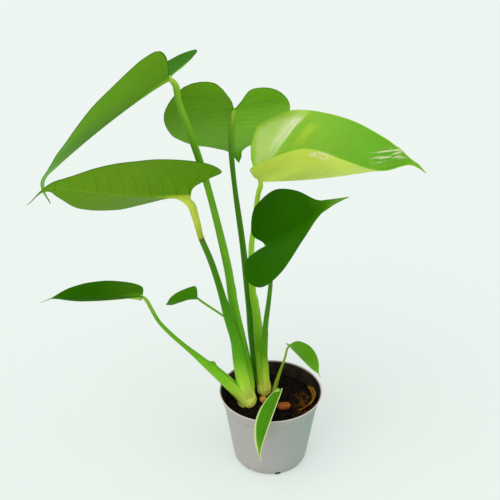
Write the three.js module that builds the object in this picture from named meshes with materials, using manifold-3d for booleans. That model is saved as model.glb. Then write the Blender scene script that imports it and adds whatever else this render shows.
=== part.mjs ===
// A young swiss cheese plant in a small nursery pot.
// Units are millimetres and +Z is up. The origin is the centre of the pot's base,
// +X points to the right of the front view and -Y points to its front.

import * as THREE from 'three';
import { mergeVertices } from 'three/addons/utils/BufferGeometryUtils.js';
import Module from 'manifold-3d';

const wasm = await Module();
wasm.setup();

// Driving dimensions

const GAP = 0.3;
const POT_HEIGHT = 70;
const RIM_RADIUS = 45;
const COLLAR_HEIGHT = 11;
const COLLAR_FOOT_RADIUS = 41.6;
const BODY_TOP_RADIUS = 40.9;
const BODY_FOOT_RADIUS = 32.4;
const BODY_FOOT_HEIGHT = 4;
const BASE_RADIUS = 28.6;
const WALL = 1.2;
const POT_SEGMENTS = 40;
const DRAIN = { count: 8, width: 5, height: 2.3, inner: 25.5, outer: 36, turn: -78 };
const SOIL_LEVEL = 58;
const SOIL_ROUGHNESS = 0.5;
const BLADE_THICKNESS = 0.8;
const TIP_HALF_WIDTH = 0.8;
const TIP_FLATTENING = 0.6;
const FINEST_DETAIL = 0.04;

// Small helpers

const radians = THREE.MathUtils.degToRad;
const vector = (x, y, z) => new THREE.Vector3(x, y, z);

function signedVolume(positions, index) {
  const [a, b, c] = [vector(), vector(), vector()];
  let volume = 0;
  for (let i = 0; i < index.length; i += 3) {
    a.fromArray(positions, index[i] * 3);
    b.fromArray(positions, index[i + 1] * 3);
    c.fromArray(positions, index[i + 2] * 3);
    volume += a.dot(b.cross(c)) / 6;
  }
  return volume;
}

// Merges the shared corners of a geometry and leaves out the triangles that close up at a pole.
function welded(geometry) {
  const bare = new THREE.BufferGeometry();
  bare.setAttribute('position', geometry.getAttribute('position').clone());
  if (geometry.index) bare.setIndex(geometry.index.clone());
  const merged = mergeVertices(bare, 1e-3);
  const source = merged.index.array;
  const index = [];
  for (let i = 0; i < source.length; i += 3) {
    const [a, b, c] = [source[i], source[i + 1], source[i + 2]];
    if (a !== b && b !== c && c !== a) index.push(a, b, c);
  }
  return { positions: Array.from(merged.getAttribute('position').array), index };
}

function indexedGeometry(positions, index) {
  const geometry = new THREE.BufferGeometry();
  geometry.setAttribute('position', new THREE.Float32BufferAttribute(positions, 3));
  geometry.setIndex(index);
  return geometry;
}

// A solid whose faces point out, ready to be joined and cut.
function solidOf(geometry) {
  const { positions, index } = welded(geometry);
  if (signedVolume(positions, index) < 0) index.reverse();
  return new wasm.Manifold(new wasm.Mesh({
    numProp: 3,
    vertProperties: new Float32Array(positions),
    triVerts: new Uint32Array(index),
  }));
}

// The slivers that a cut leaves are closed up before the solid becomes a geometry.
function geometryOf(solid) {
  const mesh = solid.simplify(FINEST_DETAIL).getMesh();
  const geometry = indexedGeometry(Array.from(mesh.vertProperties), Array.from(mesh.triVerts));
  geometry.computeVertexNormals();
  return geometry;
}

// A cut can leave a loose scrap: only the body itself is kept.
function largestPiece(solid) {
  const pieces = solid.decompose();
  pieces.sort((a, b) => b.volume() - a.volume());
  return pieces[0];
}

// Closed skin through rings that all have the same number of points.
function loft(rings) {
  const sides = rings[0].length;
  const positions = [];
  const index = [];
  for (const ring of rings) {
    for (const point of ring) positions.push(point.x, point.y, point.z);
  }
  for (let i = 0; i < rings.length - 1; i += 1) {
    for (let j = 0; j < sides; j += 1) {
      const a = i * sides + j;
      const b = i * sides + (j + 1) % sides;
      index.push(a, b, b + sides, a, b + sides, a + sides);
    }
  }
  for (const [ring, flip] of [[0, true], [rings.length - 1, false]]) {
    const centre = vector(0, 0, 0);
    for (const point of rings[ring]) centre.addScaledVector(point, 1 / sides);
    const hub = positions.length / 3;
    positions.push(centre.x, centre.y, centre.z);
    for (let j = 0; j < sides; j += 1) {
      const a = ring * sides + j;
      const b = ring * sides + (j + 1) % sides;
      index.push(hub, ...(flip ? [b, a] : [a, b]));
    }
  }
  return indexedGeometry(positions, index);
}

function smoothCurve(points) {
  return new THREE.CatmullRomCurve3(points.map(([x, y, z]) => vector(x, y, z)), false, 'catmullrom', 0.5);
}

// Round stalk along a smooth curve: each knot is [x, y, z, radius].
function stalk(knots, sides, steps, grow = 0) {
  const curve = smoothCurve(knots.map(([x, y, z]) => [x, y, z]));
  const girth = smoothCurve(knots.map((knot) => [knot[3], 0, 0]));
  const rings = [];
  let across = null;
  for (let i = 0; i <= steps; i += 1) {
    const centre = curve.getPoint(i / steps);
    const along = curve.getTangent(i / steps);
    if (across === null) across = vector(0, 1, 0);
    across.addScaledVector(along, -across.dot(along)).normalize();
    const other = along.clone().cross(across);
    const radius = girth.getPoint(i / steps).x + grow;
    if (i === 0) centre.addScaledVector(along, -grow);
    if (i === steps) centre.addScaledVector(along, grow);
    const ring = [];
    for (let j = 0; j < sides; j += 1) {
      const turn = 2 * Math.PI * j / sides;
      ring.push(centre.clone()
        .addScaledVector(across, radius * Math.cos(turn))
        .addScaledVector(other, radius * Math.sin(turn)));
    }
    rings.push(ring);
  }
  return solidOf(loft(rings));
}

// Leaf blades
//
// A blade grows from its joint with the stalk. Its midrib starts at `heading` degrees round
// from +X and `rise` degrees up, bends by `arch` over its length, and its drip tip turns by
// `droop` and `sweep`. `lean` and `twist` roll the blade about the midrib. Each half has its
// own width, depth of the basal lobe, fold up from the midrib, opening of that fold towards the
// tip, curl across the half and curl of the lobe; `late` opens the fold near the tip alone.
// `fullness`, `base` and `corners`, which stand in for the outline's first ones, trim the outline.
// Half outlines are [across, along]: across in half widths, along in lobe depths where it is
// negative and in blade lengths where it is positive.

const HEART = [
  [0, 0], [0.17, -0.5], [0.4, -1], [0.78, -0.8], [1, 0.02], [0.95, 0.36],
  [0.68, 0.66], [0.34, 0.85], [0.12, 0.955], [0.035, 1.02], [0, 1.12],
];
const LANCE = [
  [0, 0], [0.17, -0.7], [0.62, -0.6], [0.9, 0.1], [1, 0.34], [0.86, 0.58],
  [0.52, 0.8], [0.2, 0.93], [0.07, 0.985], [0.03, 1.02], [0, 1.08],
];

const leaves = [
  {
    name: 'leaf_1', outline: HEART, colour: 0x5f9f28,
    joint: [-77.2, -15, 361], length: 132.5,
    heading: 183, rise: -34, arch: -10, lean: 17, twist: -12,
    tip: { reach: 1.11, droop: -65, sweep: -1 },
    left: {
      width: 50, lobe: 16, fold: 22, opening: -12,
      curl: 3, lobeCurl: 33, fullness: 0.9,
      corners: [[0.16, -0.35], [0.56, -0.7], [0.88, -0.98]],
    },
    right: {
      width: 49, lobe: 24, fold: 7, opening: 1,
      curl: 14, lobeCurl: 5, fullness: 0.95,
      corners: [[0.19, -0.5], [0.5, -0.95], [0.87, -0.68]],
    },
    stalk: [
      [-77.2, -15, 361, 1.6], [-72, -16, 355, 2.5], [-70, -16, 342, 2.5], [-62, -16, 316, 2.9],
      [-50, -13, 270, 2.7], [-37, -6, 202, 3.3], [-32, -2, 162, 4], [-27, 1, 127, 4.7],
      [-22, 3, 96, 5.2], [-19.5, 2, 76, 5.4], [-18.5, 0.5, 61, 5],
    ],
  },
  {
    name: 'leaf_2', outline: HEART, colour: 0x4f8a1e,
    joint: [-64, -20, 267.7], length: 115,
    heading: 203, rise: 10, arch: 10, lean: 48, twist: 20,
    tip: { reach: 1.14, droop: -59, sweep: 2 },
    left: {
      width: 46.5, lobe: 17, fold: 24, opening: -20,
      curl: -24, lobeCurl: 41, fullness: 1.16, base: 0.8,
      corners: [[0.21, -0.5], [0.5, -1], [0.85, -0.85]],
    },
    right: {
      width: 50, lobe: 3, fold: 27, opening: -14,
      curl: -7, lobeCurl: 11, fullness: 1.16,
    },
    stalk: [
      [-74, -24.8, 268.6, 0.9], [-69, -23.4, 266.2, 2.1], [-65, -22.6, 261.5, 3],
      [-62.2, -22, 254, 3], [-59.6, -22, 244, 2.6], [-56.8, -22, 232, 2.4],
      [-49, -19, 210, 2.5], [-42, -15, 181, 2.9], [-36, -12, 152, 3.6], [-30, -8, 126, 4.6],
      [-27, -6, 103, 5.6], [-24, -5, 82, 6.3], [-21, -4, 63, 6.3],
    ],
  },
  {
    name: 'leaf_3', outline: HEART, colour: 0x55942c,
    joint: [-30.3, 20, 322.9], length: 123,
    heading: 90, rise: -47, arch: 16, lean: 1, twist: -7,
    tip: { reach: 1.12, droop: -27, sweep: -11 },
    left: {
      width: 55, lobe: 34, fold: 11, opening: 2,
      curl: -29, lobeCurl: 34, fullness: 1,
      corners: [[0.08, -0.5], [0.34, -1], [0.72, -0.86]],
    },
    right: {
      width: 43.5, lobe: 27.5, fold: 15, opening: 1,
      curl: -12, lobeCurl: 8, fullness: 0.97,
      corners: [[0.13, -0.5], [0.37, -1], [0.76, -0.82]],
    },
    stalk: [
      [-30.3, 20, 322.9, 1.4], [-32, 18, 315, 1.9], [-33, 15, 293, 2.1], [-30, 14, 257, 2.1],
      [-24, 13, 207, 2.6], [-19, 14, 153, 3.1], [-16, 15, 118, 3.9], [-13, 16, 90, 4.2],
      [-9, 15.5, 70, 4.3], [-7.5, 14, 61, 3.8],
    ],
  },
  {
    name: 'leaf_4', outline: HEART, colour: 0x7abf2e,
    joint: [-11, -22, 283.3], length: 117.5,
    heading: -2, rise: -1, arch: 17, lean: 8, twist: 7,
    tip: { reach: 1.1, droop: -49, sweep: -2 },
    left: {
      width: 57.5, lobe: 8, fold: 38, opening: 13,
      curl: -14, lobeCurl: 8, fullness: 0.87, base: 0.8,
      corners: [[0.22, -0.65], [0.53, -1.03], [0.85, -0.72]],
    },
    right: {
      width: 55, lobe: 7.5, fold: 50, opening: 4, late: -50,
      curl: 18, lobeCurl: 50, fullness: 1.05, base: 0.93,
      corners: [[0.19, -0.6], [0.45, -1.05], [0.8, -0.3]],
    },
    stalk: [
      [-11, -22, 283.3, 1.4], [-10, -20, 277, 1.9], [-12, -17, 267, 2], [-15, -7, 234, 2.2],
      [-17, -3, 212, 2.3], [-16, 4, 170, 2.9], [-13, 7, 146, 3.3], [-11, 8, 123, 4.1],
      [-9, 10, 100, 4.6], [-7, 11, 78, 4.9], [-6, 12, 60, 4.9],
    ],
  },
  {
    name: 'leaf_5', outline: HEART, colour: 0x2a6008,
    joint: [-6.4, -48, 239.9], length: 75.5,
    heading: -33, rise: 38, arch: 11, lean: 31, twist: 1,
    tip: { reach: 1.17, droop: -23, sweep: 20 },
    left: {
      width: 37.7, lobe: 16, fold: 19, opening: 28,
      curl: 10, lobeCurl: 31, fullness: 1.16,
    },
    right: {
      width: 36.7, lobe: 18, fold: 8, opening: 20,
      curl: -33, lobeCurl: 5, fullness: 1.02,
      corners: [[0.09, -0.5]],
    },
    stalk: [
      [-6.4, -48, 239.9, 1.1], [-3, -46, 228, 1.5], [-2, -34, 200, 1.7], [-3, -22, 175, 1.9],
      [-5, -10, 146, 2.3], [-6, -2, 118, 2.8], [-5, 3, 91, 3], [-4, 6, 66, 3.1],
    ],
  },
  {
    name: 'leaf_6', outline: LANCE, colour: 0x2f6d0c,
    joint: [-105.1, -25, 181.5], length: 71,
    heading: 189, rise: 5, arch: -1, lean: -1, twist: -13,
    tip: { reach: 1.14, droop: -23, sweep: 1 },
    left: {
      width: 14.5, lobe: 1, fold: 34, opening: -13,
      curl: -5, lobeCurl: 15, fullness: 1.03,
    },
    right: {
      width: 16.5, lobe: 2, fold: 20, opening: 4,
      curl: -14, lobeCurl: 20, fullness: 1.04,
    },
    stalk: [
      [-105.1, -25, 181.5, 1], [-101, -24, 176, 1.5], [-93, -23, 157, 1.6], [-84, -22, 144, 1.7],
      [-74, -20, 131.5, 1.9], [-63, -17, 118, 2.6], [-50, -13, 101, 3.9], [-39, -10.5, 87, 4.5],
      [-29, -8, 73, 4.8],
      [-22, -7, 62, 4.8],
    ],
  },
  {
    name: 'leaf_7', outline: LANCE, colour: 0x3a8223,
    joint: [-63.9, 35, 142.4], length: 28,
    heading: 181, rise: -2, arch: -19, lean: 9, twist: -11,
    tip: { reach: 1.04, droop: -22, sweep: -16 },
    left: {
      width: 10, lobe: 0.6, fold: 29, opening: -24,
      curl: 1, lobeCurl: 28, fullness: 0.7,
    },
    right: {
      width: 11, lobe: 0.6, fold: 28, opening: -7,
      curl: 4, lobeCurl: 30, fullness: 0.8,
      corners: [[0.4, 0], [0.98, 0.02], [1.25, 0.1], [1.03, 0.4]],
    },
    stalk: [
      [-63.9, 35, 142.4, 0.9], [-59, 35, 138, 1], [-40, 30, 126, 1], [-32, 26, 120, 1.2],
      [-26, 21, 111, 1.4], [-22, 17, 100, 1.8], [-19, 13, 84, 2.2], [-17.5, 6, 61.5, 2.4],
    ],
  },
  {
    name: 'leaf_8', outline: LANCE, colour: 0x539e1c,
    joint: [16.4, 5, 114], length: 36.5,
    heading: -42, rise: 0, arch: -51, lean: -17, twist: 7,
    tip: { reach: 1.12, droop: 4, sweep: -1 },
    left: {
      width: 12.2, lobe: 0.8, fold: 12, opening: -1,
      curl: 3, lobeCurl: 37, fullness: 1,
    },
    right: {
      width: 12, lobe: 0.3, fold: 22, opening: -17,
      curl: 0, lobeCurl: 26, fullness: 1.01,
    },
    stalk: [
      [16.4, 5, 114, 0.8], [14, 6, 109, 0.9], [12, 6, 99, 1], [8, 8, 83, 1.3],
      [5, 9, 70, 1.8], [3, 9, 60.5, 2.2],
    ],
  },
  {
    name: 'leaf_9', outline: LANCE, colour: 0x3f931f,
    joint: [6.2, -31, 91.8], length: 59,
    heading: -118, rise: -19, arch: -65, lean: 46, twist: -10,
    tip: { reach: 1.14, droop: -17, sweep: -4 },
    left: {
      width: 10.8, lobe: 1.5, fold: 18, opening: 11,
      curl: -30, lobeCurl: 14, fullness: 1.03,
    },
    right: {
      width: 13.3, lobe: 2, fold: 6, opening: 19,
      curl: 8, lobeCurl: 17, fullness: 0.82,
    },
    stalk: [
      [6.2, -31, 91.8, 0.9], [5.8, -27, 90, 1.1], [5, -16, 82, 1.4], [3.6, -3, 69.5, 1.8],
      [3.2, 6.6, 60.3, 1.8],
    ],
  },
];

// How far a share of the blade's length has gone into the drip tip.
function intoTip(share) {
  return THREE.MathUtils.clamp((share - 0.9) / 0.14, 0, 1);
}

// Directions of the blade at a share of its length: along the midrib, to its left, and out
// of its upper face.
function bladeFrame(leaf, share) {
  const rise = radians(leaf.rise + leaf.arch * share + leaf.tip.droop * intoTip(share));
  const heading = radians(leaf.heading + leaf.tip.sweep * intoTip(share));
  const roll = radians(leaf.lean + leaf.twist * share);
  const along = vector(
    Math.cos(rise) * Math.cos(heading),
    Math.cos(rise) * Math.sin(heading),
    Math.sin(rise),
  );
  const level = vector(-Math.sin(heading), Math.cos(heading), 0);
  const upright = along.clone().cross(level);
  const left = level.clone().multiplyScalar(Math.cos(roll)).addScaledVector(upright, Math.sin(roll));
  return { along, left, up: along.clone().cross(left) };
}

function midrib(leaf, steps = 60) {
  const reach = leaf.length * leaf.tip.reach;
  const points = [vector(...leaf.joint)];
  for (let i = 0; i < steps; i += 1) {
    const { along } = bladeFrame(leaf, (i + 0.5) / steps * leaf.tip.reach);
    points.push(points[i].clone().addScaledVector(along, reach / steps));
  }
  return points;
}

function onMidrib(points, along, reach) {
  const place = THREE.MathUtils.clamp(along / reach, 0, 1) * (points.length - 1);
  const i = Math.min(Math.floor(place), points.length - 2);
  return points[i].clone().lerp(points[i + 1], place - i);
}

// Outline of a blade half from its joint to its drip tip, which ends blunt.
function margin(leaf, half, rows) {
  const corners = leaf.outline.map(([x, y]) => [
    (y > 0.1 ? x ** half.fullness : x) * half.width,
    y < 0 ? y * half.lobe : y * leaf.length,
  ]);
  (half.corners ?? []).forEach(([x, y], i) => {
    corners[i + 1] = [x * half.width, y * (y < 0 ? half.lobe : leaf.length)];
  });
  [1, 1, 1, 0.5].forEach((share, i) => {
    corners[i + 1][0] *= 1 + share * ((half.base ?? 1) - 1);
  });
  corners[10][1] = leaf.length * leaf.tip.reach;
  const curve = smoothCurve(corners.map(([x, y]) => [x, y, 0]));
  return Array.from({ length: rows + 1 }, (_, i) => {
    const point = curve.getPoint(i / rows);
    return point.y > leaf.length / 2 ? point.setX(Math.max(point.x, TIP_HALF_WIDTH)) : point;
  });
}

// Point of a blade half: `across` runs from the midrib to the margin, `along` from the joint.
function bladePoint(leaf, ribs, half, sign, across, along) {
  const share = THREE.MathUtils.clamp(along / leaf.length, 0, leaf.tip.reach);
  const { left, up, along: forward } = bladeFrame(leaf, share);
  const centre = onMidrib(ribs, Math.max(along, 0), leaf.length * leaf.tip.reach);
  let normal = up;
  if (along < 0) {
    const bend = Math.max(radians(half.lobeCurl), 1e-5) / leaf.length;
    const turn = bend * along;
    centre.addScaledVector(forward, Math.sin(turn) / bend);
    centre.addScaledVector(up, (1 - Math.cos(turn)) / bend);
    normal = up.clone().multiplyScalar(Math.cos(turn)).addScaledVector(forward, -Math.sin(turn));
  }
  const spread = half.fold + half.opening * share + (half.late ?? 0) * share ** 2;
  const fold = radians(spread) * (1 - TIP_FLATTENING * intoTip(share));
  const curl = radians(half.curl || 1e-3) / half.width;
  const out = (Math.sin(fold + curl * across) - Math.sin(fold)) / curl;
  const lift = (Math.cos(fold) - Math.cos(fold + curl * across)) / curl;
  return centre.addScaledVector(left, sign * out).addScaledVector(normal, lift);
}

// Mid surface of a blade, laid out along its side veins: each row sweeps from the midrib to the
// margin, and the first rows fan out of the joint into the basal lobes.
function bladeSurface(leaf, rows, columns) {
  const ribs = midrib(leaf);
  const reach = leaf.length * leaf.tip.reach;
  const margins = [margin(leaf, leaf.left, rows), margin(leaf, leaf.right, rows)];
  const positions = [];
  const index = [];
  margins.forEach((edge, side) => {
    const half = side === 0 ? leaf.left : leaf.right;
    const sign = side === 0 ? 1 : -1;
    const first = positions.length / 3;
    for (let i = 0; i <= rows; i += 1) {
      const even = reach * Math.max(0, (i / rows - 0.12) / 0.88) ** 1.25;
      const start = Math.max(0, Math.min(even, margins[0][i].y, margins[1][i].y));
      const [endX, endY] = [edge[i].x, edge[i].y];
      const [bendX, bendY] = [endX / 2, start + 0.3 * (endY - start)];
      for (let j = 0; j <= columns; j += 1) {
        const s = j / columns;
        const across = 2 * s * (1 - s) * bendX + s * s * endX;
        const along = (1 - s) ** 2 * start + 2 * s * (1 - s) * bendY + s * s * endY;
        positions.push(...bladePoint(leaf, ribs, half, sign, Math.max(across, 0), along).toArray());
      }
    }
    for (let i = 0; i < rows; i += 1) {
      for (let j = 0; j < columns; j += 1) {
        const a = first + i * (columns + 1) + j;
        const b = a + columns + 1;
        const quad = [a, b + 1, b, a, a + 1, b + 1];
        index.push(...(side === 0 ? quad.reverse() : quad));
      }
    }
  });
  return welded(indexedGeometry(positions, index));
}

// Gives an open surface a thickness, with both faces split alike and a strip round its edge.
function thickened({ positions, index }, thickness) {
  const count = positions.length / 3;
  const sheet = indexedGeometry(positions, index);
  sheet.computeVertexNormals();
  const normals = sheet.getAttribute('normal').array;
  const shifted = (offset) => positions.map((value, i) => value + normals[i] * offset);
  const faces = [...index];
  const edges = new Map();
  for (let i = 0; i < index.length; i += 3) {
    const [a, b, c] = index.slice(i, i + 3);
    faces.push(a + count, c + count, b + count);
    for (const [from, to] of [[a, b], [b, c], [c, a]]) {
      if (!edges.delete(`${to} ${from}`)) edges.set(`${from} ${to}`, [from, to]);
    }
  }
  for (const [from, to] of edges.values()) {
    faces.push(from, from + count, to + count, from, to + count, to);
  }
  return indexedGeometry([...shifted(thickness / 2), ...shifted(-thickness / 2)], faces);
}

// The blade ends in a small round swelling at its joint, where the stalk meets it.
function blade(leaf, grow = 0) {
  const large = leaf.outline === HEART;
  const surface = bladeSurface(leaf, large ? 20 : 12, large ? 4 : 3);
  const knuckle = new THREE.SphereGeometry(leaf.stalk[0][3] + 0.5 + grow, 9, 6);
  knuckle.translate(...leaf.joint);
  return solidOf(thickened(surface, BLADE_THICKNESS + 2 * grow)).add(solidOf(knuckle));
}

// Pot: a thin tapered cup with an upright collar, a flat base and drain slots round its foot

function potProfile() {
  const collarFoot = POT_HEIGHT - COLLAR_HEIGHT;
  return [
    [0, 0], [BASE_RADIUS, 0], [30.6, 0.6], [31.8, 2], [BODY_FOOT_RADIUS, BODY_FOOT_HEIGHT],
    [BODY_TOP_RADIUS, collarFoot - 0.4], [COLLAR_FOOT_RADIUS, collarFoot],
    [RIM_RADIUS - 0.1, POT_HEIGHT - 0.5], [RIM_RADIUS, POT_HEIGHT - 0.1], [RIM_RADIUS - 0.3, POT_HEIGHT],
    [RIM_RADIUS - WALL, POT_HEIGHT], [RIM_RADIUS - WALL - 0.2, POT_HEIGHT - 0.4],
    [COLLAR_FOOT_RADIUS - WALL, collarFoot - 0.6], [BODY_TOP_RADIUS - WALL, collarFoot - 1.2],
    [BODY_FOOT_RADIUS - WALL, BODY_FOOT_HEIGHT + 0.6], [30.2, 2.4], [BASE_RADIUS - 0.4, WALL], [0, WALL],
  ];
}

function lathe(profile) {
  const geometry = new THREE.LatheGeometry(profile.map(([r, z]) => new THREE.Vector2(r, z)), POT_SEGMENTS);
  return geometry.rotateX(Math.PI / 2);
}

function nurseryPot() {
  let pot = solidOf(lathe(potProfile()));
  for (let i = 0; i < DRAIN.count; i += 1) {
    const slot = new THREE.BoxGeometry(DRAIN.outer - DRAIN.inner, DRAIN.width, DRAIN.height * 2);
    slot.translate((DRAIN.outer + DRAIN.inner) / 2, 0, 0);
    slot.rotateZ(radians(DRAIN.turn + 360 * i / DRAIN.count));
    pot = pot.subtract(solidOf(slot));
  }
  return pot;
}

// Crowns: the short pale stumps at soil level that the stalks stand on.
// Each level is [z, radius] round the crown's own centre.

const crowns = [
  {
    name: 'crown_left', centre: [-19.5, -2.5], squash: 0.92,
    stalks: ['leaf_2', 'leaf_6', 'leaf_1', 'leaf_7'],
    levels: [[40, 1.6], [45, 4.5], [51, 7.6], [56, 9.2], [60, 9], [63, 6.4], [64.5, 3]],
  },
  {
    name: 'crown_middle', centre: [-6.2, 12.6], squash: 0.95,
    stalks: ['leaf_4', 'leaf_5', 'leaf_3'],
    levels: [[42, 1.4], [47, 3.6], [53, 5.8], [57, 6.6], [60, 6], [62, 4], [63, 2]],
  },
  {
    name: 'crown_seedling', centre: [3.4, 8.4], squash: 0.9,
    stalks: ['leaf_8', 'leaf_9'],
    levels: [[46, 0.9], [51, 2], [55.5, 3], [58.5, 3], [60.5, 1.6]],
  },
];

function crownSolid(crown, grow = 0) {
  const last = crown.levels.length - 1;
  const rings = crown.levels.map(([z, radius], level) => {
    const lift = level === 0 ? -grow : level === last ? grow : 0;
    const ring = [];
    for (let j = 0; j < 14; j += 1) {
      const turn = 2 * Math.PI * j / 14;
      ring.push(vector(
        crown.centre[0] + (radius + grow) * Math.cos(turn),
        crown.centre[1] + (radius * crown.squash + grow) * Math.sin(turn),
        z + lift,
      ));
    }
    return ring;
  });
  return solidOf(loft(rings));
}

// Loose pieces on the soil: two bark chips and a curled strip of bark against the wall

const chips = [
  {
    name: 'bark_chip', centre: [11.8, -9.6, 59.6], size: [12, 8, 3.4],
    turn: 8, tilt: 6, colour: 0x9a5320,
  },
  {
    name: 'bark_stub', centre: [-6.6, -1.2, 60.4], size: [6, 6.5, 4.6],
    turn: 30, tilt: -12, colour: 0xa8803f,
  },
];

function chipSolid(chip, grow = 0) {
  const outline = [
    [0.5, 0.06], [0.34, 0.44], [-0.1, 0.5], [-0.42, 0.34],
    [-0.5, -0.1], [-0.28, -0.46], [0.2, -0.5], [0.46, -0.26],
  ];
  const layers = [[-0.5, 0.8], [-0.15, 1], [0.25, 0.94], [0.5, 0.7]];
  const rings = layers.map(([height, share]) => outline.map(([x, y]) => vector(
    (chip.size[0] * share + 2 * grow) * x * (1 + 0.08 * height),
    (chip.size[1] * share + 2 * grow) * y,
    (chip.size[2] + 2 * grow) * height,
  )));
  const geometry = loft(rings);
  geometry.rotateX(radians(chip.tilt));
  geometry.rotateZ(radians(chip.turn));
  geometry.translate(...chip.centre);
  return solidOf(geometry);
}

// Each knot is [x, y, z, width] on the strip's middle line.
const STRIP = {
  thickness: 1.2,
  knots: [
    [34.2, 17.6, 60.2, 2], [37.4, 10.6, 61.6, 4.6], [38.3, 2, 62, 5.4],
    [36.2, -5.6, 61.4, 5], [31, -12, 60.6, 4.6], [24.6, -16.4, 59.8, 2.6],
  ],
};

function stripSolid(grow = 0) {
  const { knots, thickness } = STRIP;
  const line = smoothCurve(knots.map(([x, y, z]) => [x, y, z]));
  const widths = smoothCurve(knots.map((knot) => [knot[3], 0, 0]));
  const steps = 12;
  const rings = [];
  for (let i = 0; i <= steps; i += 1) {
    const centre = line.getPoint(i / steps);
    const along = line.getTangent(i / steps);
    if (i === 0) centre.addScaledVector(along, -grow);
    if (i === steps) centre.addScaledVector(along, grow);
    const inward = vector(-centre.x, -centre.y, 0).normalize();
    const slope = vector(0, 0, 0.82).addScaledVector(inward, -0.57).normalize();
    const face = along.clone().cross(slope).normalize();
    const half = widths.getPoint(i / steps).x / 2 + grow;
    const depth = thickness / 2 + grow;
    rings.push([[half, depth], [-half, depth], [-half, -depth], [half, -depth]].map(([s, t]) => (
      centre.clone().addScaledVector(slope, s).addScaledVector(face, t)
    )));
  }
  return solidOf(loft(rings));
}

// Soil: fills the pot to just under the collar, with an uneven top

function pottingSoil(cutters) {
  const topRadius = BODY_TOP_RADIUS - WALL - GAP - 0.3;
  const profile = [
    [0, WALL + GAP], [BASE_RADIUS - 0.9, WALL + GAP], [29.8, 2.9],
    [BODY_FOOT_RADIUS - WALL - GAP - 0.1, BODY_FOOT_HEIGHT + 1],
    [topRadius, SOIL_LEVEL - 1.2],
    ...[topRadius, 33, 25, 17, 9].map((radius) => [radius, SOIL_LEVEL]), [0, SOIL_LEVEL],
  ];
  const geometry = lathe(profile);
  const place = geometry.getAttribute('position');
  for (let i = 0; i < place.count; i += 1) {
    const [x, y, z] = [place.getX(i), place.getY(i), place.getZ(i)];
    if (z > SOIL_LEVEL - 0.1) {
      const wave = Math.sin(0.31 * x + 0.8) * Math.cos(0.27 * y) + Math.sin(0.19 * x - 0.41 * y);
      place.setZ(i, z + SOIL_ROUGHNESS * wave);
    }
  }
  return largestPiece(cutters.reduce((soil, cutter) => soil.subtract(cutter), solidOf(geometry)));
}

// Assembly

const plant = new THREE.Group();

function add(name, solid, colour, roughness) {
  const material = new THREE.MeshStandardMaterial({ color: colour, roughness, metalness: 0 });
  const mesh = new THREE.Mesh(geometryOf(solid), material);
  mesh.name = name;
  plant.add(mesh);
}

const potSolid = nurseryPot();
add('nursery_pot', potSolid, 0xa5a5a0, 0.45);

const wide = crowns.map((crown) => crownSolid(crown, GAP));
const clearChips = chips.map((chip) => chipSolid(chip, GAP));
add('potting_soil', pottingSoil([...wide, ...clearChips, stripSolid(GAP)]), 0x1d1613, 0.95);

for (const crown of crowns) add(crown.name, crownSolid(crown), 0x9aa83a, 0.6);
for (const chip of chips) add(chip.name, chipSolid(chip), chip.colour, 0.85);
add('bark_strip', stripSolid(), 0x5c3a1c, 0.85);

// In each clump the stalks are laid from the front to the back, and each later one wraps round
// the stalks before it, as a sheath does.
for (const crown of crowns) {
  const taken = [];
  for (const name of crown.stalks) {
    const leaf = leaves.find((candidate) => candidate.name === name);
    const [sides, steps] = [leaf.outline === HEART ? 8 : 7, leaf.stalk.length * 2 - 2];
    const cutters = [...wide, blade(leaf, GAP), ...taken];
    const body = cutters.reduce((whole, cutter) => whole.subtract(cutter), stalk(leaf.stalk, sides, steps));
    add(`${leaf.name}_petiole`, largestPiece(body), 0x74ab35, 0.5);
    taken.push(stalk(leaf.stalk, sides, steps, GAP));
  }
}

for (const leaf of leaves) add(`${leaf.name}_blade`, blade(leaf), leaf.colour, 0.4);

export default plant;
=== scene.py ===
"""A young swiss cheese plant in a small nursery pot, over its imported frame."""

import math
from collections import namedtuple

import bmesh
import bpy
import numpy as np
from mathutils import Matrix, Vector, noise


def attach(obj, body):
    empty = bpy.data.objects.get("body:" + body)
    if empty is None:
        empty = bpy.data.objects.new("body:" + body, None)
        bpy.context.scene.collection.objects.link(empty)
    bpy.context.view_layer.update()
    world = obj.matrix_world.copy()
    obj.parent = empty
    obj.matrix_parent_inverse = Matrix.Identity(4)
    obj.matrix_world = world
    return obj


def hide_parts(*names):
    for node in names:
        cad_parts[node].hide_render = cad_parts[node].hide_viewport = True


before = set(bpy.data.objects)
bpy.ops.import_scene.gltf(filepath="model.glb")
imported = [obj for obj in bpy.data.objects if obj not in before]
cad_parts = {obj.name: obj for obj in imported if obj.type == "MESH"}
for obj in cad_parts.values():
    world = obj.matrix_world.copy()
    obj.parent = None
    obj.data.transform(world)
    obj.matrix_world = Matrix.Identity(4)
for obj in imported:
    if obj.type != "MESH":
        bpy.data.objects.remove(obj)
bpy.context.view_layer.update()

MM = 0.001

# Camera at the photograph's viewpoint

CAMERA_PLACE = (-0.01813, -0.72066, 0.60912)
CAMERA_PITCH = 28.99
CAMERA_LENS = 73.28

# Leaves, in millimetres and degrees
#
# A blade grows from its joint: `heading` is round from +X, `rise` is up, `arch` bends it over its
# length, `lean` and `twist` roll it about the midrib, and `droop` and `sweep` turn its drip tip,
# which ends at `reach` lengths. Side veins leave the midrib `spacing` apart, and `flare` is the
# height that the midrib gains at the joint.
#
# Outlines are (across, along): across in half widths, along in lobe depths where it is negative
# and in blade lengths where it is positive. A half's `corners` stand in for the outline's first
# ones, `fullness` and `base` change its breadth, `fold`, `opening` and `late` fold it along the
# midrib, and `curl` and `lobe_curl` bend it across and behind the joint.
#
# A stalk has knots (x, y, z, radius) from the joint down. `sheath` is the share of it where the
# sheath begins, and `wing` the height of the sheath's two edges.

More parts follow.
